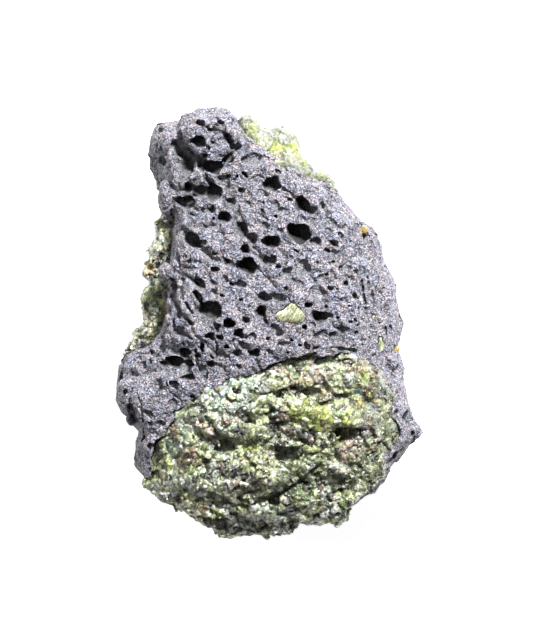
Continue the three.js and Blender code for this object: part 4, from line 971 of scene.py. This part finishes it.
# ---------------------------------------------------------------- materials
class Nodes:
    """Small helper for building node trees."""

    def __init__(self, name):
        self.m = bpy.data.materials.new(name); self.m.use_nodes = True
        self.t = self.m.node_tree; self.t.nodes.clear()
        self.out = self.t.nodes.new("ShaderNodeOutputMaterial")

    def n(self, kind, **kw):
        node = self.t.nodes.new("ShaderNode" + kind)
        for k, v in kw.items():
            if k.startswith("i_"):
                s = k[2:].replace("_", " ")
                tgt = node.inputs[int(s)] if s.isdigit() else node.inputs[s]
                if hasattr(v, "is_output") or isinstance(v, bpy.types.NodeSocket): self.t.links.new(v, tgt)
                else: tgt.default_value = v
            else: setattr(node, k, v)
        return node

    def link(self, a, b): self.t.links.new(a, b)

    def mm(self):
        tc = self.n("TexCoord"); mp = self.n("Mapping"); mp.inputs["Scale"].default_value = (1000, 1000, 1000)
        self.link(tc.outputs["Object"], mp.inputs["Vector"]); return mp.outputs["Vector"]

    def noise(self, vec, scale, detail=2.0, rough=0.5, dist=0.0):
        k = self.n("TexNoise"); k.inputs["Scale"].default_value = scale; k.inputs["Detail"].default_value = detail
        k.inputs["Roughness"].default_value = rough; k.inputs["Distortion"].default_value = dist
        self.link(vec, k.inputs["Vector"]); return k.outputs["Fac"]

    def ramp(self, fac, stops, interp="LINEAR"):
        r = self.n("ValToRGB"); cr = r.color_ramp; cr.interpolation = interp
        while len(cr.elements) < len(stops): cr.elements.new(0.5)
        for e, (p, c) in zip(cr.elements, stops): e.position = p; e.color = (*c, 1.0) if len(c) == 3 else c
        self.link(fac, r.inputs["Fac"]); return r.outputs["Color"]

    def mix(self, fac, a, b, mode="MIX"):
        x = self.n("Mix", data_type="RGBA", blend_type=mode)
        for s, v in ((x.inputs[0], fac), (x.inputs[6], a), (x.inputs[7], b)):
            if isinstance(v, bpy.types.NodeSocket): self.link(v, s)
            elif isinstance(v, (int, float)): s.default_value = v
            else: s.default_value = (*v, 1.0)
        return x.outputs[2]

    def math(self, op, a, b=0.0, clamp=False):
        x = self.n("Math", operation=op); x.use_clamp = clamp
        for s, v in ((x.inputs[0], a), (x.inputs[1], b)):
            if isinstance(v, bpy.types.NodeSocket): self.link(v, s)
            else: s.default_value = v
        return x.outputs[0]

    def facets(self, vec, scale, k, normal=None):
        """Tilts the normal differently in every small cell, like crystal faces."""
        vo = self.n("TexVoronoi"); vo.inputs["Scale"].default_value = scale; self.link(vec, vo.inputs["Vector"])
        if normal is None: normal = self.n("NewGeometry").outputs["Normal"]
        a = self.n("VectorMath", operation="SUBTRACT"); self.link(vo.outputs["Color"], a.inputs[0]); a.inputs[1].default_value = (0.5, 0.5, 0.5)
        m = self.n("VectorMath", operation="SCALE"); self.link(a.outputs[0], m.inputs[0]); m.inputs["Scale"].default_value = k
        s = self.n("VectorMath", operation="ADD"); self.link(m.outputs[0], s.inputs[0]); self.link(normal, s.inputs[1])
        o = self.n("VectorMath", operation="NORMALIZE"); self.link(s.outputs[0], o.inputs[0])
        return o.outputs[0]

    def remap(self, v, a, b, c=0.0, d=1.0):
        x = self.n("MapRange"); x.clamp = True
        self.link(v, x.inputs["Value"])
        for k, val in zip(("From Min", "From Max", "To Min", "To Max"), (a, b, c, d)): x.inputs[k].default_value = val
        return x.outputs["Result"]


def grey(v, tint=(0.99, 0.992, 1.14)): return tuple(v * t for t in tint)


def basalt_material():
    N = Nodes("vesicular_basalt")
    v = N.mm()
    depth = N.n("Attribute", attribute_name="depth", attribute_type="GEOMETRY").outputs["Fac"]
    g1 = N.noise(v, 3.4, 3.0, 0.65); big = N.noise(v, 0.22, 3.0, 0.55); mid = N.noise(v, 0.55, 2.0, 0.5)
    cell = N.n("TexVoronoi"); cell.inputs["Scale"].default_value = 4.6; N.link(v, cell.inputs["Vector"])
    sp = N.n("SeparateColor"); N.link(cell.outputs["Color"], sp.inputs[0])
    speck = N.math("ADD", N.math("MULTIPLY", g1, 0.62), N.math("MULTIPLY", sp.outputs[0], 0.38))
    open_face = N.ramp(speck, [(0.27, grey(0.028)), (0.38, grey(0.085)), (0.50, grey(0.165)), (0.61, grey(0.265)), (0.72, grey(0.42))])
    cool = N.mix(1.0, open_face, (0.94, 0.98, 1.07), "MULTIPLY"); warm = N.mix(1.0, open_face, (1.09, 0.98, 0.92), "MULTIPLY")
    open_face = N.mix(N.remap(mid, 0.42, 0.60, 0.0, 1.0), cool, warm)
    open_face = N.mix(N.math("MULTIPLY", sp.outputs[1], 0.35), open_face, N.mix(1.0, open_face, (1.10, 0.95, 0.90), "MULTIPLY"))
    open_face = N.mix(N.remap(big, 0.38, 0.62, 0.0, 0.35), open_face, N.mix(1.0, open_face, (0.70, 0.74, 0.84), "MULTIPLY"))
    wall = N.ramp(speck, [(0.26, grey(0.075, (0.98, 1.0, 1.08))), (0.50, grey(0.155, (0.98, 1.0, 1.08))), (0.72, grey(0.26, (0.98, 1.0, 1.08)))])
    col = N.mix(N.remap(depth, 0.5, 1.2, 0.0, 0.75), open_face, wall)
    # painted shade: from 1.6 mm down inside a bubble the colour turns near-black
    col = N.mix(N.remap(depth, 1.6, 3.2, 0.0, 0.9), col, (0.012, 0.010, 0.009))
    # thin cracks, some drawn out along the flow, bumped in and painted near-black as the shade inside them
    cr = N.n("TexVoronoi", feature="DISTANCE_TO_EDGE"); cr.inputs["Scale"].default_value = 0.42
    wob = N.n("TexNoise"); wob.inputs["Scale"].default_value = 0.8; N.link(v, wob.inputs["Vector"])
    w2 = N.n("VectorMath", operation="MULTIPLY_ADD"); N.link(wob.outputs["Color"], w2.inputs[0]); w2.inputs[1].default_value = (2.4, 2.4, 2.4); N.link(v, w2.inputs[2])
    N.link(w2.outputs[0], cr.inputs["Vector"])
    line = N.math("MULTIPLY", N.remap(cr.outputs["Distance"], 0.0, 0.055, 1.0, 0.0), N.remap(mid, 0.44, 0.56, 1.0, 0.0))
    col = N.mix(N.math("MULTIPLY", line, 0.85), col, (0.016, 0.016, 0.018))
    flow = N.n("Mapping", vector_type="TEXTURE"); flow.inputs["Rotation"].default_value = (0, 0, math.radians(-52)); flow.inputs["Scale"].default_value = (2.2, 1.0, 1.2)
    N.link(w2.outputs[0], flow.inputs["Vector"])
    cf = N.n("TexVoronoi", feature="DISTANCE_TO_EDGE"); cf.inputs["Scale"].default_value = 0.95; N.link(flow.outputs["Vector"], cf.inputs["Vector"])
    thin = N.math("MULTIPLY", N.remap(cf.outputs["Distance"], 0.0, 0.085, 1.0, 0.0), N.remap(N.noise(v, 0.75, 1.0, 0.5), 0.50, 0.60, 0.0, 1.0))
    col = N.mix(N.math("MULTIPLY", thin, 0.75), col, (0.020, 0.019, 0.020))
    # tiny pits, bumped in and painted near-black as the shade inside them, left out inside the bubbles
    w3 = N.n("VectorMath", operation="MULTIPLY_ADD"); N.link(N.n("TexNoise", i_Vector=v, i_Scale=2.6).outputs["Color"], w3.inputs[0]); w3.inputs[1].default_value = (0.7, 0.7, 0.7); N.link(v, w3.inputs[2])
    pit = None
    for k, (src, scale, near, far, share) in enumerate(((w3.outputs[0], 2.1, 0.20, 0.36, 0.80), (flow.outputs["Vector"], 1.7, 0.20, 0.34, 0.80))):
        pv = N.n("TexVoronoi"); pv.inputs["Scale"].default_value = scale; N.link(src, pv.inputs["Vector"])
        sep = N.n("SeparateColor"); N.link(pv.outputs["Color"], sep.inputs[0])
        one = N.math("MULTIPLY", N.remap(pv.outputs["Distance"], near, far, 1.0, 0.0), N.remap(sep.outputs[2], share, share + 0.03, 0.0, 1.0))
        pit = one if pit is None else N.math("MAXIMUM", pit, one)
    pit = N.math("MULTIPLY", pit, N.remap(depth, 0.5, 1.0, 1.0, 0.0))
    col = N.mix(N.math("MULTIPLY", pit, 0.85), col, (0.018, 0.017, 0.018))
    bs = N.n("BsdfPrincipled")
    N.link(col, bs.inputs["Base Color"])
    N.link(N.remap(speck, 0.3, 0.7, 0.9, 0.6), bs.inputs["Roughness"])
    bites = N.n("TexVoronoi"); bites.inputs["Scale"].default_value = 1.9; N.link(v, bites.inputs["Vector"])
    b1 = N.n("Bump"); b1.inputs["Strength"].default_value = 1.0; b1.inputs["Distance"].default_value = 0.00031
    N.link(N.math("ADD", bites.outputs["Distance"], N.math("SUBTRACT", N.math("MULTIPLY", g1, 1.1), N.math("ADD", N.math("MULTIPLY", N.math("ADD", line, thin), 0.5), N.math("MULTIPLY", pit, 0.8)))), b1.inputs["Height"])
    b2 = N.n("Bump"); b2.inputs["Strength"].default_value = 1.0; b2.inputs["Distance"].default_value = 0.00021
    N.link(N.noise(v, 3.2, 2.0, 0.6), b2.inputs["Height"]); N.link(b1.outputs["Normal"], b2.inputs["Normal"])
    N.link(N.facets(v, 4.6, 0.55, b2.outputs["Normal"]), bs.inputs["Normal"])
    N.link(bs.outputs[0], N.out.inputs["Surface"])
    return N.m


def grain_material(name, trans, rough, bright=1.0, glitter=1.0, cloud=0.35):
    N = Nodes(name)
    v = N.mm()
    tint = N.n("Attribute", attribute_name="tint", attribute_type="GEOMETRY").outputs["Color"]
    fine = N.noise(v, 3.2, 3.0, 0.6); crack = N.noise(v, 1.4, 2.0, 0.55, 0.6)
    cell = N.n("TexVoronoi"); cell.inputs["Scale"].default_value = 2.5; N.link(v, cell.inputs["Vector"])
    sp = N.n("SeparateColor"); N.link(cell.outputs["Color"], sp.inputs[0])
    col = N.mix(N.remap(fine, 0.52, 0.74, 0.0, cloud), tint, (0.80, 0.82, 0.66))
    col = N.mix(N.remap(crack, 0.30, 0.46, 0.45, 0.0), col, N.mix(1.0, tint, (0.34, 0.36, 0.20), "MULTIPLY"))
    # every tiny cleavage face is a little lighter, darker, greyer or pinker than the next; the lighter ones are also
    # painted glints
    col = N.mix(1.0, col, N.ramp(sp.outputs[0], [(0.0, (1 - 0.60 * glitter,) * 3), (0.6, (1.0, 1.0, 1.0)), (1.0, (1 + 0.55 * glitter,) * 3)]), "MULTIPLY")
    col = N.mix(N.remap(sp.outputs[1], 0.72, 1.0, 0.0, 0.5 * glitter), col, (0.50, 0.47, 0.46))
    if bright != 1.0: col = N.mix(1.0, col, (bright,) * 3, "MULTIPLY")
    bs = N.n("BsdfPrincipled")
    N.link(col, bs.inputs["Base Color"])
    N.link(N.remap(fine, 0.3, 0.7, rough[0], rough[1]), bs.inputs["Roughness"])
    bs.inputs["IOR"].default_value = 1.67
    bs.inputs["Transmission Weight"].default_value = trans
    bs.inputs["Specular IOR Level"].default_value = 0.35
    bs.inputs["Subsurface Weight"].default_value = 0.75
    bs.inputs["Subsurface Radius"].default_value = (0.9, 1.0, 0.4)
    bs.inputs["Subsurface Scale"].default_value = 0.0007
    b = N.n("Bump"); b.inputs["Strength"].default_value = 0.5; b.inputs["Distance"].default_value = 0.0001
    N.link(N.noise(v, 4.0, 3.0, 0.65), b.inputs["Height"]); N.link(b.outputs["Normal"], bs.inputs["Normal"])
    N.link(N.facets(v, 3.9, 0.75 * glitter, N.facets(v, 2.5, 1.0 * glitter)), b.inputs["Normal"])
    N.link(bs.outputs[0], N.out.inputs["Surface"])
    return N.m


def crystal_material(name, pale, deep, trans, absorb, stain=None):
    """Streaky crystal: pale and deeper bands along its cleavage; stain is a brown patch (x0, x1, y in mm)."""
    N = Nodes(name)
    v = N.mm()
    dots = []
    for d, k in (((-0.87, 0.5, 0.1), 4.4), ((0.5, 0.87, 0.0), 0.55), ((0, 0, 1), 0.6)):
        o = N.n("VectorMath", operation="DOT_PRODUCT"); N.link(v, o.inputs[0]); o.inputs[1].default_value = d
        dots.append(N.math("MULTIPLY", o.outputs["Value"], k))
    cb = N.n("CombineXYZ")
    for o, s in zip(dots, cb.inputs): N.link(o, s)
    streak = N.noise(cb.outputs[0], 1.0, 2.0, 0.6)
    fine = N.noise(v, 4.2, 2.0, 0.6)
    col = N.ramp(N.math("ADD", N.math("MULTIPLY", streak, 0.75), N.math("MULTIPLY", fine, 0.25)), [(0.38, deep), (0.47, tuple(0.5 * (p + q) for p, q in zip(pale, deep))), (0.55, pale), (0.66, (0.86, 0.89, 0.72))])
    if stain:
        sx = N.n("SeparateXYZ"); N.link(v, sx.inputs[0])
        m = N.math("MULTIPLY", N.math("MULTIPLY", N.remap(sx.outputs[0], stain[0] - 0.5, stain[0] + 0.4, 0.0, 1.0), N.remap(sx.outputs[0], stain[1] - 0.5, stain[1] + 0.5, 1.0, 0.0)), N.remap(sx.outputs[1], stain[2] - 0.2, stain[2] + 0.35, 1.0, 0.0))
        col = N.mix(N.math("MULTIPLY", m, N.remap(fine, 0.35, 0.55, 0.4, 1.0)), col, (0.33, 0.19, 0.045))
    bs = N.n("BsdfPrincipled")
    N.link(col, bs.inputs["Base Color"]); N.link(N.remap(fine, 0.3, 0.7, 0.12, 0.36), bs.inputs["Roughness"])
    bs.inputs["IOR"].default_value = 1.67
    bs.inputs["Transmission Weight"].default_value = trans
    b = N.n("Bump"); b.inputs["Strength"].default_value = 1.0; b.inputs["Distance"].default_value = 0.00022
    N.link(streak, b.inputs["Height"])
    N.link(N.facets(v, 3.4, 0.5), b.inputs["Normal"]); N.link(b.outputs["Normal"], bs.inputs["Normal"])
    N.link(bs.outputs[0], N.out.inputs["Surface"])
    va = N.n("VolumeAbsorption"); va.inputs["Color"].default_value = (*absorb, 1.0); va.inputs["Density"].default_value = 220.0
    N.link(va.outputs[0], N.out.inputs["Volume"])
    return N.m


host.data.materials.append(basalt_material())
grain = grain_material("olivine_grains", 0.25, (0.14, 0.40), 0.75, 0.66)
clear = grain_material("clear_olivine_grains", 0.55, (0.10, 0.30), 0.56, 0.55, 0.3)
for ob, m in ((front_ob, grain), (left_ob, grain), (top_ob, clear)): ob.data.materials.append(m)
LOOKS = dict(face=((0.60, 0.62, 0.40), (0.23, 0.24, 0.11)), shoulder=((0.52, 0.38, 0.13), (0.26, 0.17, 0.05)), flank=((0.60, 0.64, 0.44), (0.26, 0.30, 0.15)),
    groove=((0.66, 0.68, 0.44), (0.32, 0.33, 0.16)), edge=((0.56, 0.42, 0.14), (0.30, 0.20, 0.06)))
for node, ob in crystals:
    kind = node.split("_")[0]
    stain = (float(X(281)) + CENTRING[0], float(X(294)) + CENTRING[0], float(Y(321.4)) + CENTRING[1]) if kind == "face" else None
    ob.data.materials.append(crystal_material(node + "_clear", *LOOKS[kind], 0.5, (0.80, 0.88, 0.55), stain))

for ob, node, slot in [(host, "basalt_host", "basalt"), (front_ob, NODES["F"], "granular_olivine"), (left_ob, NODES["L"], "granular_olivine"), (top_ob, NODES["T"], "clear_olivine")] + [(o, n, "clear_olivine") for n, o in crystals]:
    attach(ob, "root"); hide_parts(node)

# ---------------------------------------------------------------- floor, light, camera
fm = Nodes("pale_floor")
fb = fm.n("BsdfPrincipled"); fb.inputs["Base Color"].default_value = (0.86, 0.86, 0.86, 1); fb.inputs["Roughness"].default_value = 0.9
fb.inputs["Emission Color"].default_value = (1, 1, 1, 1); fb.inputs["Emission Strength"].default_value = 0.90
fm.link(fb.outputs[0], fm.out.inputs["Surface"])
floor = make_mesh("floor", np.array([(-900, -900, 0), (900, -900, 0), (900, 900, 0), (-900, 900, 0)], float), np.array([[0, 1, 2, 3]]))
floor.data.materials.append(fm.m)


def area(name, loc, size, power, colour=(1, 1, 1), target=(0, 0, 0.025)):
    d = bpy.data.lights.new(name, "AREA"); d.energy = power; d.shape = "DISK"; d.size = size; d.color = colour
    o = bpy.data.objects.new(name, d); bpy.context.scene.collection.objects.link(o)
    o.location = loc
    d = np.array(target, float) - np.array(loc, float); d /= np.linalg.norm(d)
    o.rotation_euler = (math.acos(-d[2]), 0.0, math.atan2(-d[0], d[1]))
    return o


area("key", (0.20, 0.42, 0.54), 0.13, 19.8)
area("fill", (-0.42, 0.12, 0.66), 0.35, 1.6, (0.98, 0.99, 1.0))
w = bpy.data.worlds.new("studio"); bpy.context.scene.world = w; w.use_nodes = True
w.node_tree.nodes["Background"].inputs["Color"].default_value = (0.97, 0.98, 1.0, 1)
w.node_tree.nodes["Background"].inputs["Strength"].default_value = 0.06

cam_d = bpy.data.cameras.new("camera"); cam = bpy.data.objects.new("camera", cam_d)
bpy.context.scene.collection.objects.link(cam); bpy.context.scene.camera = cam
H, MID_Z = 4.0, 0.024
cam.location = (((533 / 2) - PLAN[0]) * MM / 1000 + CENTRING[0] / 1000, (PLAN[1] - 632 / 2) * MM / 1000 + CENTRING[1] / 1000, H + MID_Z)
cam.rotation_euler = (0, 0, 0)
cam_d.sensor_fit = "HORIZONTAL"; cam_d.sensor_width = 36.0
cam_d.lens = 36.0 * H / (533 * MM / 1000)
cam_d.clip_start = 0.5; cam_d.clip_end = 20
cam_d.dof.use_dof = False
bpy.context.scene.view_settings.view_transform = "Standard"
bpy.context.scene.view_settings.look = "None"

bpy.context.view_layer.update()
print("ready", round(time.time() - T0, 1))
